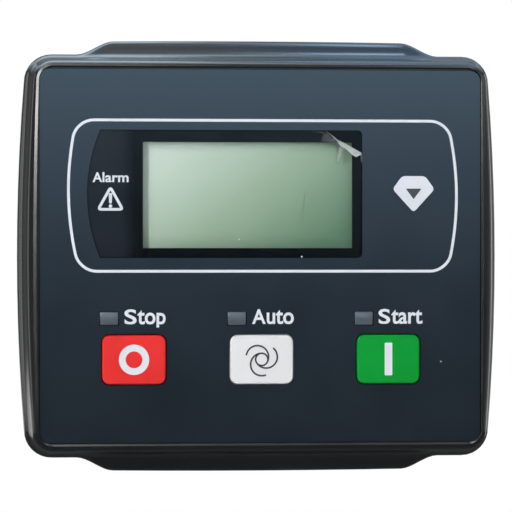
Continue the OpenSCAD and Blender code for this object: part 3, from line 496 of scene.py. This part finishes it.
def add_letters(bm, letters, left, right, height):
    """Add letters in bold print, fitted between two edges on the base line, up to a height."""
    lettering = bpy.data.curves.new("letters", "FONT")
    lettering.body = letters
    lettering.offset = 0.02
    lettering.extrude = 0.5
    carrier = bpy.data.objects.new("letters", lettering)
    bpy.context.scene.collection.objects.link(carrier)
    bpy.context.view_layer.update()
    mesh = bpy.data.meshes.new_from_object(carrier.evaluated_get(bpy.context.evaluated_depsgraph_get()))
    others = set(bm.verts)
    bm.from_mesh(mesh)
    made = [vertex for vertex in bm.verts if vertex not in others]
    bpy.data.objects.remove(carrier)
    bpy.data.curves.remove(lettering)
    bpy.data.meshes.remove(mesh)
    low = min(vertex.co.x for vertex in made)
    high = max(vertex.co.x for vertex in made)
    top = max(vertex.co.y for vertex in made)
    tails = [vertex for vertex in made if vertex.co.y < 0]
    bmesh.ops.scale(bm, vec=(1, TAIL, 1), verts=tails)
    bmesh.ops.translate(bm, vec=(-low, 0, 0.5), verts=made)
    bmesh.ops.scale(bm, vec=((right - left) / (high - low), height / top, 1), verts=made)
    bmesh.ops.translate(bm, vec=(left, 0, 0), verts=made)


def word_piece(name, word, edges, base, cap, y, scene, small=SHORT_ASCENDER):
    """A word whose capital and small letters each fit between two edges, as a mesh."""
    bm = bmesh.new()
    add_letters(bm, word[0], edges[0] * MM, edges[1] * MM, cap)
    add_letters(bm, word[1:], edges[2] * MM, edges[3] * MM, cap * small)
    bmesh.ops.remove_doubles(bm, verts=bm.verts[:], dist=0.001 * MM)
    bmesh.ops.scale(bm, vec=(1, 1, scene.print_settings.ink_height), verts=bm.verts[:])
    to_front(bm, 0, y, base)
    return as_piece(name, bm, "housing", "white_ink", scene)


# The operators, one for each piece or group of like pieces


class GENSET_OT_finishes(Operator):
    """Mix the finishes and give every solid its own"""

    bl_idname = "genset.finishes"
    bl_label = "Finishes"

    def execute(self, context):
        mix_finishes(context.scene)
        for node, slot in NODE_SLOTS.items():
            mesh = frame["nodes"][node].data
            mesh.materials.clear()
            mesh.materials.append(FINISHES[slot])
        return {"FINISHED"}


class GENSET_OT_bezel(Operator):
    """Shade the bezel's moulded rim smoothly, apart from the narrow lands along its crest"""

    bl_idname = "genset.bezel"
    bl_label = "Bezel"

    # How deep the lands along the crest reach behind it, and the unevenness of an edge along the rim
    LAND = 0.2 * MM
    LEVEL = 0.01 * MM

    def execute(self, context):
        mesh = stand_in("front_bezel", merged_copy("front_bezel"), context.scene).data
        crest = min(vertex.co.y for vertex in mesh.vertices)
        for edge in mesh.edges:
            near, far = sorted(mesh.vertices[index].co.y for index in edge.vertices)
            if far < crest + self.LAND and far - near < self.LEVEL:
                edge.use_edge_sharp = True
        return {"FINISHED"}


class GENSET_OT_frame_line(Operator):
    """Print the white frame line round the display and the scroll sign"""

    bl_idname = "genset.frame_line"
    bl_label = "Frame line"

    def execute(self, context):
        ink = context.scene.print_settings
        bm = bmesh.new()
        half = ink.line_half_width
        low, high = ink.line_bottom, ink.line_top
        face = flat_face(bm, [(-half, low), (half, low), (half, high), (-half, high)])
        face = round_corners(bm, face, ink.line_corner, 8)
        middle = (high + low) / 2
        reach = (high - low) / 2
        sides = [edge for edge in face.edges if abs(edge.verts[0].co.y - edge.verts[1].co.y) > reach]
        bmesh.ops.bisect_edges(bm, edges=sides, cuts=15)
        for vertex in bm.verts:
            share = 1 - ((vertex.co.y - middle) / reach) ** 2
            vertex.co.x += math.copysign(ink.line_bow * share, vertex.co.x)
            if vertex.co.x < 0:
                vertex.co.x += ink.line_lean * (middle - vertex.co.y) / reach
        hollow_out(bm, max(bm.faces, key=lambda part: part.calc_area()), ink.line_width)
        thicken(bm, ink.ink_height)
        to_front(bm, ink.line_middle, FACIA_Y, 0)
        as_piece("frame_line", bm, "housing", "white_ink", context.scene)
        return {"FINISHED"}


class GENSET_OT_legends(Operator):
    """Print the plain function words beside the status windows and over the alarm sign"""

    bl_idname = "genset.legends"
    bl_label = "Legends"

    def execute(self, context):
        scene = context.scene
        ink = scene.print_settings
        for name, word, edges in (
            ("stop_legend", "Stop", (-27.7, -25.25, -25.1, -19.4)),
            ("auto_legend", "Auto", (-1.9, 0.85, 1.05, 6.55)),
            ("start_legend", "Start", (23.85, 26.2, 26.45, 32.8)),
        ):
            word_piece(name, word, edges, ink.legend_base, ink.cap_height, FACIA_Y, scene)
        edges = (-34.1, -32.15, -32.1, -26.85)
        word_piece(
            "alarm_legend", "Alarm", edges, ink.alarm_base, ink.alarm_cap, WINDOW_Y, scene, small=1.0)
        return {"FINISHED"}


class GENSET_OT_signs(Operator):
    """Print the alarm sign on the window and the scroll sign on the facia"""

    bl_idname = "genset.signs"
    bl_label = "Signs"

    # Outlines round the middle of each sign, in mm
    TRIANGLE = [(-2.92, -2.19), (2.92, -2.19), (0, 3.03)]
    BAR = [(-0.27, -0.75), (0.27, -0.75), (0.36, 1.35), (-0.36, 1.35)]
    FIELD = [(2.35, 3.4), (4.3, 0.75), (0, -3.95), (-4.3, 0.75), (-2.35, 3.4)]
    MARK = [(0, -1.3), (1.6, 0.85), (-1.6, 0.85)]
    # Roundings of those outlines, and the alarm sign's stroke, dot and middle
    TRIANGLE_CORNER = 1.05 * MM
    BAR_CORNER = 0.24 * MM
    FIELD_CORNER = 0.65 * MM
    MARK_CORNER = 0.12 * MM
    STROKE = 0.55 * MM
    DOT_RADIUS = 0.35 * MM
    DOT_DROP = 1.27 * MM
    ALARM_X = -30.5 * MM
    ALARM_Z = 11.3 * MM

    def outline(self, bm, points, corner, segments=6):
        """A flat face through points in mm, with rounded corners."""
        face = flat_face(bm, [(x * MM, y * MM) for x, y in points])
        return round_corners(bm, face, corner, segments)

    def alarm_sign(self, scene):
        """A rounded triangle with a bar and a dot in it."""
        ink = scene.print_settings
        bm = bmesh.new()
        hollow_out(bm, self.outline(bm, self.TRIANGLE, self.TRIANGLE_CORNER), self.STROKE)
        self.outline(bm, self.BAR, self.BAR_CORNER, 4)
        dot = Matrix.Translation((0, -self.DOT_DROP, 0))
        bmesh.ops.create_circle(bm, cap_ends=True, segments=20, radius=self.DOT_RADIUS, matrix=dot)
        thicken(bm, ink.ink_height)
        to_front(bm, self.ALARM_X, WINDOW_Y, self.ALARM_Z)
        as_piece("alarm_sign", bm, "housing", "white_ink", scene)

    def scroll_sign(self, scene):
        """A white field that points down, with a dark triangle in it."""
        ink = scene.print_settings
        low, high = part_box("scroll_button")
        place = ((low[0] + high[0]) / 2, (low[2] + high[2]) / 2)
        bm = bmesh.new()
        self.outline(bm, self.FIELD, self.FIELD_CORNER)
        thicken(bm, ink.ink_height)
        to_front(bm, place[0], FACIA_Y, place[1])
        as_piece("scroll_sign", bm, "housing", "white_ink", scene)
        bm = bmesh.new()
        self.outline(bm, self.MARK, self.MARK_CORNER, 2)
        thicken(bm, ink.ink_height)
        to_front(bm, place[0], FACIA_Y - ink.ink_height, place[1])
        as_piece("scroll_mark", bm, "housing", "dark_ink", scene)

    def execute(self, context):
        self.alarm_sign(context.scene)
        self.scroll_sign(context.scene)
        return {"FINISHED"}


class GENSET_OT_keys(Operator):
    """Make the three coloured keys and their symbols"""

    bl_idname = "genset.keys"
    bl_label = "Keys"

    # Rounding of the start bar
    BAR_CORNER = 0.2 * MM
    # The auto symbol's arms: how many, the first one's direction, and how far each leads and sweeps
    ARMS = 3
    FIRST_ARM = math.radians(150)
    ARM_LEAD = math.radians(22)
    ARM_SWEEP = math.radians(202)

    def cap(self, key, scene):
        """A key cap with rounded edges in place of its solid; returns where its face is."""
        sizes = scene.key_settings
        low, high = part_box(f"{key}_button")
        width, depth, height = (high[axis] - low[axis] for axis in range(3))
        margin = 2 * sizes.lip
        bm = bmesh.new()
        rounded_block(bm, width, height, 0, sizes.lip_height, sizes.corner + sizes.lip, 0)
        rounded_block(
            bm, width - margin, height - margin, sizes.lip_height, depth, sizes.corner, sizes.edge)
        middle = ((low[0] + high[0]) / 2, (low[2] + high[2]) / 2)
        to_front(bm, middle[0], high[1], middle[1])
        slot = NODE_SLOTS[f"{key}_button"]
        piece = as_piece(f"{key}_key_cap", bm, f"{key}_key", slot, scene)
        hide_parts(f"{key}_button")
        return middle[0], low[1], middle[1]

    def ring(self, bm, sizes):
        """The stop ring."""
        bmesh.ops.create_circle(bm, cap_ends=True, segments=72, radius=sizes.ring_outer)
        hollow_out(bm, bm.faces[:][0], sizes.ring_stroke)

    def bar(self, bm, sizes):
        """The start bar."""
        x, y = sizes.bar_width / 2, sizes.bar_height / 2
        round_corners(bm, flat_face(bm, [(-x, -y), (x, -y), (x, y), (-x, y)]), self.BAR_CORNER, 4)

    def arc(self, bm, centre, radius, start, sweep, sizes):
        """A band that follows an arc round a centre."""
        half = sizes.swirl_stroke / 2
        turn = Matrix.Rotation(start, 4, "Z")
        ends = [bm.verts.new(centre + turn @ Vector((radius + side, 0, 0))) for side in (-half, half)]
        edge = bm.edges.new(ends)
        full = math.isclose(sweep, 2 * math.pi)
        bmesh.ops.spin(
            bm, geom=[*ends, edge], cent=centre, axis=(0, 0, 1), angle=sweep, steps=36, use_merge=full)

    def swirl(self, bm, sizes):
        """The auto symbol: a ring with three arms that curl out of it."""
        self.arc(bm, Vector((0, 0, 0)), sizes.swirl_ring, 0, 2 * math.pi, sizes)
        lean = sizes.swirl_arm - sizes.swirl_ring
        for arm in range(self.ARMS):
            turn = self.FIRST_ARM - 2 * math.pi / self.ARMS * arm
            centre = Vector((lean * math.cos(turn), lean * math.sin(turn), 0))
            self.arc(bm, centre, sizes.swirl_arm, turn + self.ARM_LEAD, -self.ARM_SWEEP, sizes)

    def execute(self, context):
        scene = context.scene
        sizes = scene.key_settings
        for key, draw, finish in (
            ("stop", self.ring, "white_ink"),
            ("auto", self.swirl, "symbol_ink"),
            ("start", self.bar, "white_ink"),
        ):
            place = self.cap(key, scene)
            bm = bmesh.new()
            draw(bm, sizes)
            thicken(bm, scene.print_settings.ink_height)
            to_front(bm, *place)
            as_piece(f"{key}_symbol", bm, f"{key}_key", finish, scene)
        return {"FINISHED"}


class GENSET_OT_status_windows(Operator):
    """Round the corners of the three grey status windows"""

    bl_idname = "genset.status_windows"
    bl_label = "Status windows"

    ROUNDING = 0.4 * MM

    def execute(self, context):
        for key in ("stop", "auto", "start"):
            node = f"{key}_light_pipe"
            bm = merged_copy(node)
            break_edges(bm, self.ROUNDING)
            stand_in(node, bm, context.scene)
        return {"FINISHED"}


class GENSET_OT_film_tear(Operator):
    """Raise the torn, creased edge of the film at the window's upper right corner"""

    bl_idname = "genset.film_tear"
    bl_label = "Film tear"

    # The stretched strip: points along its upper and its lower edge, in mm on the window
    UPPER = [
        (13.2, 25.15), (14.5, 24.35), (15.55, 23.5), (16.5, 23.05), (17.5, 22.5), (18.3, 22.05),
        (18.9, 21.75), (19.6, 21.35), (20.35, 20.9),
    ]
    LOWER = [
        (13.3, 25.05), (14.35, 24.1), (15.3, 23.15), (16.05, 22.1), (17.05, 21.65), (17.7, 21.1),
        (18.45, 20.4), (19.2, 20.0), (20.2, 20.5),
    ]
    # The curl of film that hangs at the window's right edge
    CURL = [(20.35, 20.9), (20.5, 20.1), (20.45, 18.7), (20.25, 19.3), (20.15, 20.1), (20.1, 20.5)]
    # The fork below the strip, the film folded over beside it and the faint streak on the display
    FORK = [
        (16.0, 22.2), (16.9, 21.7), (16.45, 21.35), (16.25, 20.5), (15.6, 19.0), (15.4, 19.5), (15.6, 21.0),
    ]
    FOLD = [
        (10.3, 25.2), (13.25, 25.0), (14.3, 24.0), (15.25, 23.05), (15.9, 22.1), (15.4, 20.8), (14.8, 22.3),
        (12.1, 22.9), (12.7, 24.6), (11.8, 24.95),
    ]
    STREAK = [(9.0, 14.4), (8.95, 12.5), (8.6, 10.0), (8.0, 6.7), (7.9, 6.7), (8.4, 10.0), (8.75, 12.5)]
    # How far the strip's lower edge and the curl are lifted, how thin they are, and the film's gap behind
    LIFT = 0.7 * MM
    CURL_LIFT = 0.25 * MM
    THIN = 0.05 * MM
    OFF_WINDOW = 0.01 * MM

    def film(self, scene):
        """The film, with its rear face a hair off the window so that the two don't share a plane."""
        bm = merged_copy("window_film")
        rear = [vertex for vertex in bm.verts if vertex.co.y > FILM_Y + self.THIN]
        bmesh.ops.translate(bm, vec=(0, -self.OFF_WINDOW, 0), verts=rear)
        stand_in("window_film", bm, scene)

    def strip(self, scene):
        """The stretched strip, with its lower edge lifted off the window."""
        bm = bmesh.new()
        upper = [bm.verts.new((x * MM, z * MM, 0)) for x, z in self.UPPER]
        lower = [bm.verts.new((x * MM, z * MM, self.LIFT)) for x, z in self.LOWER]
        for k in range(len(upper) - 1):
            bm.faces.new((upper[k], lower[k], lower[k + 1], upper[k + 1]))
        thicken(bm, self.THIN)
        to_front(bm, 0, FILM_Y, 0)
        as_piece("film_tear", bm, "housing", "creased_film", scene)

    def sheet(self, name, outlines, finish, lift, scene):
        """Thin flat pieces of film at a height over the window."""
        bm = bmesh.new()
        for points in outlines:
            flat_face(bm, [(x * MM, z * MM) for x, z in reversed(points)])
        thicken(bm, self.THIN)
        to_front(bm, 0, FILM_Y - lift, 0)
        as_piece(name, bm, "housing", finish, scene)

    def execute(self, context):
        self.film(context.scene)
        self.strip(context.scene)
        self.sheet("film_curl", (self.CURL,), "creased_film", self.CURL_LIFT, context.scene)
        self.sheet("film_fork", (self.FORK,), "stretched_film", 0, context.scene)
        self.sheet("film_fold", (self.FOLD, self.STREAK), "folded_film", 0, context.scene)
        return {"FINISHED"}


class GENSET_OT_dust(Operator):
    """Scatter the few pale specks of dust on the facia and the film"""

    bl_idname = "genset.dust"
    bl_label = "Dust"

    # Place of each speck on the front and its radius, in mm
    FACIA_SPECKS = [(36.6, -21.4, 0.16)]
    FILM_SPECKS = [(-4.5, 3.35, 0.13), (8.2, -0.15, 0.16)]
    # A speck's height as a share of its width
    FLATNESS = 0.4

    def execute(self, context):
        bm = bmesh.new()
        for specks, y in ((self.FACIA_SPECKS, FACIA_Y), (self.FILM_SPECKS, FILM_Y)):
            for x, z, radius in specks:
                place = Matrix.Translation((x * MM, y, z * MM)) @ Matrix.Diagonal((1, self.FLATNESS, 1, 1))
                bmesh.ops.create_icosphere(bm, subdivisions=2, radius=radius * MM, matrix=place)
        as_piece("dust", bm, "housing", "white_ink", context.scene)
        return {"FINISHED"}


class GENSET_OT_rear_fittings(Operator):
    """Break the edges of the case, the clips, the terminals and the screws behind the panel"""

    bl_idname = "genset.rear_fittings"
    bl_label = "Rear fittings"

    # Rounding of each fitting's edges, in mm, and the angle from which an edge shows as sharp
    EDGES = {
        "rear_case": 0.25, "panel_gasket": 0.1, "left_fixing_clip": 0.25, "right_fixing_clip": 0.25,
        "clip_screws": 0.12, "case_screws": 0.1, "terminal_screws": 0.08, "programming_socket": 0.15,
        "input_terminal_plug": 0.15, "output_terminal_plug": 0.15,
    }
    SHARP = math.radians(20)

    def execute(self, context):
        for node, width in self.EDGES.items():
            bm = merged_copy(node)
            break_edges(bm, width * MM)
            stand_in(node, bm, context.scene, self.SHARP)
        return {"FINISHED"}


class GENSET_OT_stage(Operator):
    """Set up the pale floor, the white background, the soft lamps and the camera"""

    bl_idname = "genset.stage"
    bl_label = "Studio stage"

    # Walls, ceiling and foot of the studio round the controller, and a card's thickness, in metres
    FRONT_WALL = -0.76
    LEFT_WALL = -0.6
    RIGHT_WALL = 0.7
    CEILING = 0.75
    FOOT = -0.8
    THICK = 0.01
    # The floor's radius, and between which radii it turns white
    FLOOR_RADIUS = 6
    FADE_START = 0.2
    FADE_END = 0.5
    # Where the wall behind the camera turns to sky, and how fast the sky brightens upwards
    HORIZON = 0.005
    SKY_RISE = 27
    # Tints of the cards
    PLAIN = (1, 1, 1)
    SKY = (0.8, 1.0, 1.15)
    BLUE_SKY = (0.66, 1.0, 1.4)

    def camera(self, scene, settings):
        """A long lens level with the controller, a little to the left of its front."""
        lens = bpy.data.cameras.new("camera")
        lens.lens = settings.camera_lens
        lens.sensor_width = 36
        lens.clip_start = 0.02
        camera = bpy.data.objects.new("camera", lens)
        scene.collection.objects.link(camera)
        turn = settings.camera_turn
        camera.location = settings.camera_distance * Vector((-math.sin(turn), -math.cos(turn), 0))
        camera.rotation_euler = (math.pi / 2, 0, -turn)
        scene.camera = camera

    def lamp(self, scene, name, power, width, height, place, in_gloss):
        """A soft lamp aimed at the controller, which the gloss may show or not."""
        light = bpy.data.lights.new(name, "AREA")
        light.energy = power
        light.shape = "RECTANGLE"
        light.size = width
        light.size_y = height
        lamp = bpy.data.objects.new(name, light)
        scene.collection.objects.link(lamp)
        lamp.location = place
        lamp.visible_glossy = in_gloss
        lamp.rotation_euler = Vector(place).to_track_quat("Z", "Y").to_euler()

    def stage_object(self, scene, name, bm):
        """An object of the stage made from a bmesh, and the nodes of its new material."""
        mesh = bpy.data.meshes.new(name)
        bm.to_mesh(mesh)
        bm.free()
        material = bpy.data.materials.new(name)
        material.use_nodes = True
        mesh.materials.append(material)
        item = bpy.data.objects.new(name, mesh)
        scene.collection.objects.link(item)
        return item, material.node_tree

    def floor(self, scene, settings):
        """A pale floor that turns white away from the controller, as far as the camera sees it."""
        bm = bmesh.new()
        bmesh.ops.create_circle(bm, cap_ends=True, segments=96, radius=self.FLOOR_RADIUS)
        bmesh.ops.translate(bm, vec=(0, 0, CAD_BOX[0][2] - settings.floor_drop), verts=bm.verts[:])
        floor, tree = self.stage_object(scene, "floor", bm)
        shader = tree.nodes["Principled BSDF"]
        shader.inputs["Base Color"].default_value = (*settings.floor, 1)
        shader.inputs["Roughness"].default_value = 0.9
        glow = add_node(tree, "ShaderNodeEmission", color=(1, 1, 1, 1), strength=1.0)
        coords = add_node(tree, "ShaderNodeTexCoord")
        far = add_node(tree, "ShaderNodeVectorMath", operation="LENGTH", vector=coords.outputs["Object"])
        fade = add_node(
            tree, "ShaderNodeMapRange", value=far.outputs["Value"],
            from_min=self.FADE_START, from_max=self.FADE_END)
        seen = add_node(tree, "ShaderNodeMath", operation="MULTIPLY", value=fade.outputs["Result"])
        tree.links.new(background_rays(tree), seen.inputs[1])
        mix = add_node(tree, "ShaderNodeMixShader", fac=seen.outputs["Value"])
        tree.links.new(shader.outputs[0], mix.inputs[1])
        tree.links.new(glow.outputs[0], mix.inputs[2])
        tree.links.new(mix.outputs[0], tree.nodes["Material Output"].inputs["Surface"])

    def card(self, scene, name, low, high, tone, rise=0.0, axis="Z", tint=PLAIN):
        """A card between two corners that shows only in the gloss; its tone may rise along an axis."""
        bm = bmesh.new()
        bmesh.ops.create_cube(bm, size=1)
        bmesh.ops.scale(bm, vec=Vector(high) - Vector(low), verts=bm.verts[:])
        bmesh.ops.translate(bm, vec=(Vector(high) + Vector(low)) / 2, verts=bm.verts[:])
        card, tree = self.stage_object(scene, name, bm)
        coords = add_node(tree, "ShaderNodeTexCoord")
        axes = add_node(tree, "ShaderNodeSeparateXYZ", vector=coords.outputs["Object"])
        level = add_node(tree, "ShaderNodeMath", operation="MULTIPLY_ADD", value=axes.outputs[axis])
        level.inputs[1].default_value = rise
        level.inputs[2].default_value = tone
        glow = add_node(tree, "ShaderNodeEmission", color=(*tint, 1), strength=level.outputs["Value"])
        tree.links.new(glow.outputs[0], tree.nodes["Material Output"].inputs["Surface"])
        card.visible_camera = False
        card.visible_diffuse = False
        card.visible_transmission = False
        card.visible_shadow = False

    def front_cards(self, scene):
        """Cards on the wall behind the camera: dark below, a brightening sky and three bright strips."""
        wall = self.FRONT_WALL
        behind = wall - self.THICK
        sky_left, sky_right, sky_top = -0.14, 0.3, 0.2
        for name, left, right, low, high, tone in (
            ("front_card", -0.9, 1.0, self.FOOT, self.HORIZON, 0.02),
            ("left_front_card", -0.9, sky_left, self.HORIZON, self.CEILING, 0.3),
            ("upper_card", sky_left, sky_right, sky_top, self.CEILING, 0.4),
            ("far_right_card", sky_right, 1.0, self.HORIZON, self.CEILING, 0.35),
        ):
            self.card(scene, name, (left, behind, low), (right, wall, high), tone)
        self.card(
            scene, "sky_card", (sky_left, behind, self.HORIZON), (sky_right, wall, sky_top),
            -self.SKY_RISE * self.HORIZON, self.SKY_RISE, tint=(0.66, 1.0, 1.33))
        for name, left, right, front, low, high, tone in (
            ("upper_left_card", -0.3, 0.035, wall, 0.4, 0.57, 7),
            ("upper_right_card", 0.2, 0.45, wall, 0.4, self.CEILING, 3),
            ("glint_card", -0.35, -0.3, -0.65, 0.02, 0.4, 4),
        ):
            self.card(scene, name, (left, front, low), (right, front + self.THICK, high), tone)

    def side_cards(self, scene):
        """Cards at the sides and the rear, with light that grows upwards, and a dark one below."""
        left = self.LEFT_WALL - self.THICK
        right = self.RIGHT_WALL
        for name, x, front, rear, low, tone in (
            ("right_card", right, -0.75, 0.2, self.FOOT, 0.35),
            ("right_front_card", 0.68, -0.75, -0.5, -0.02, 2.0),
            ("right_rear_card", right, 0.2, 1.0, self.FOOT, 0.5),
            ("left_card", left, -0.6, 0.25, self.FOOT, 0.2),
            ("left_side_card", left, 0.25, 0.45, self.FOOT, 1.4),
            ("left_rear_card", left, 0.45, 2.6, self.FOOT, 0.15),
        ):
            self.card(scene, name, (x, front, low), (x + self.THICK, rear, self.CEILING), tone)
        low = 0.3
        for name, x, rise in (("left_upper_card", -0.59, 6.0), ("right_upper_card", 0.69, 3.0)):
            self.card(
                scene, name, (x, 0.1, low), (x + self.THICK, 1.4, self.CEILING),
                -low * rise, rise, tint=self.SKY)
        self.card(scene, "rear_wall_card", (-0.8, 2.0, 0.4), (0.8, 2.0 + self.THICK, self.CEILING), 0.2)
        self.card(scene, "low_card", (-0.5, -0.75, -0.1), (0.6, 0.4, -0.099), 0.1)

    def ceiling_cards(self, scene):
        """Cards on the ceiling from the front to the rear: panes of light that fade to the dark."""
        left, right = -0.8, 0.8
        for name, start, end, front, rear, tone, rise, tint in (
            ("top_card", -0.6, 0.06, self.FRONT_WALL, -0.1, 1.7, 1.7, self.PLAIN),
            ("right_top_card", 0.06, 0.6, self.FRONT_WALL, -0.1, 1.7, 1.7, self.BLUE_SKY),
            ("overhead_card", left, 0.095, -0.1, 0.16, 1.3, 0, self.SKY),
            ("bright_overhead_card", 0.095, 0.165, -0.1, 0.12, 8.0, 0, self.BLUE_SKY),
            ("right_overhead_card", 0.165, right, -0.1, 0.12, 1.2, 0, self.BLUE_SKY),
            ("ceiling_card", left, 0.095, 0.16, 0.34, 3.5, 0, self.SKY),
            ("right_ceiling_card", 0.095, right, 0.12, 0.34, 1.7, 0, self.BLUE_SKY),
            ("left_pane_card", left, 0.055, 0.34, 0.7, 10.2, -12.4, self.SKY),
            ("middle_pane_card", 0.055, 0.115, 0.34, 0.7, 0.4, 0, self.SKY),
            ("right_pane_card", 0.115, right, 0.34, 0.7, 2.6, -2.6, self.BLUE_SKY),
            ("rear_ceiling_card", left, right, 0.7, 1.2, 1.0, 0, self.SKY),
            ("far_ceiling_card", left, right, 1.2, 2.0, 0.2, 0, self.PLAIN),
        ):
            self.card(
                scene, name, (start, front, self.CEILING), (end, rear, self.CEILING + self.THICK),
                tone, rise, "Y", tint)

    def background(self, scene, settings):
        """An even grey surround that camera, gloss and glass see as white."""
        world = bpy.data.worlds.new("studio")
        scene.world = world
        world.use_nodes = True
        tree = world.node_tree
        soft = tree.nodes["Background"]
        soft.inputs["Color"].default_value = (1, 1, 1, 1)
        soft.inputs["Strength"].default_value = settings.ambient
        white = add_node(tree, "ShaderNodeBackground", color=(1, 1, 1, 1), strength=1.0)
        mix = add_node(tree, "ShaderNodeMixShader", fac=background_rays(tree))
        tree.links.new(soft.outputs[0], mix.inputs[1])
        tree.links.new(white.outputs[0], mix.inputs[2])
        tree.links.new(mix.outputs[0], tree.nodes["World Output"].inputs["Surface"])

    def execute(self, context):
        scene = context.scene
        settings = scene.stage_settings
        scene.view_settings.view_transform = "Standard"
        self.camera(scene, settings)
        self.background(scene, settings)
        self.floor(scene, settings)
        self.lamp(
            scene, "key_lamp", settings.key_power,
            width=0.075, height=0.5, place=(-0.385, -0.62, 0.245), in_gloss=True)
        self.lamp(
            scene, "back_lamp", settings.back_power,
            width=0.6, height=0.6, place=(0.35, 0.7, 0.45), in_gloss=False)
        self.front_cards(scene)
        self.side_cards(scene)
        self.ceiling_cards(scene)
        return {"FINISHED"}


def background_rays(tree):
    """1 for the rays that show the background: from the camera, off gloss and through glass."""
    path = add_node(tree, "ShaderNodeLightPath")
    factor = path.outputs["Is Camera Ray"]
    for name in ("Is Glossy Ray", "Is Transmission Ray"):
        either = add_node(tree, "ShaderNodeMath", operation="MAXIMUM", value=factor)
        tree.links.new(path.outputs[name], either.inputs[1])
        factor = either.outputs["Value"]
    return factor


SETTINGS = {
    "print_settings": PrintSettings, "key_settings": KeySettings,
    "finish_settings": FinishSettings, "stage_settings": StageSettings,
}
OPERATORS = (
    GENSET_OT_finishes, GENSET_OT_bezel, GENSET_OT_frame_line, GENSET_OT_legends, GENSET_OT_signs,
    GENSET_OT_keys, GENSET_OT_status_windows, GENSET_OT_film_tear, GENSET_OT_dust, GENSET_OT_rear_fittings,
    GENSET_OT_stage,
)


class GENSET_PT_controller(Panel):
    """Lists the settings and the steps that dress the controller"""

    bl_idname = "GENSET_PT_controller"
    bl_label = "Genset controller"
    bl_space_type = "VIEW_3D"
    bl_region_type = "UI"
    bl_category = "Controller"

    def draw(self, context):
        for group, kind in SETTINGS.items():
            box = self.layout.box()
            box.label(text=kind.__doc__)
            for name in kind.__annotations__:
                box.prop(getattr(context.scene, group), name)
        for step in OPERATORS:
            self.layout.operator(step.bl_idname)


def register():
    """Register the settings, the steps and the panel."""
    for group, kind in SETTINGS.items():
        bpy.utils.register_class(kind)
        setattr(bpy.types.Scene, group, PointerProperty(type=kind))
    for kind in (*OPERATORS, GENSET_PT_controller):
        bpy.utils.register_class(kind)


def unregister():
    """Remove what register added."""
    for kind in (GENSET_PT_controller, *reversed(OPERATORS)):
        bpy.utils.unregister_class(kind)
    for group, kind in SETTINGS.items():
        delattr(bpy.types.Scene, group)
        bpy.utils.unregister_class(kind)


def main():
    """Dress the controller and set the stage."""
    register()
    bpy.ops.genset.finishes()
    bpy.ops.genset.bezel()
    bpy.ops.genset.frame_line()
    bpy.ops.genset.legends()
    bpy.ops.genset.signs()
    bpy.ops.genset.keys()
    bpy.ops.genset.status_windows()
    bpy.ops.genset.film_tear()
    bpy.ops.genset.dust()
    bpy.ops.genset.rear_fittings()
    bpy.ops.genset.stage()


if __name__ == "__main__":
    main()
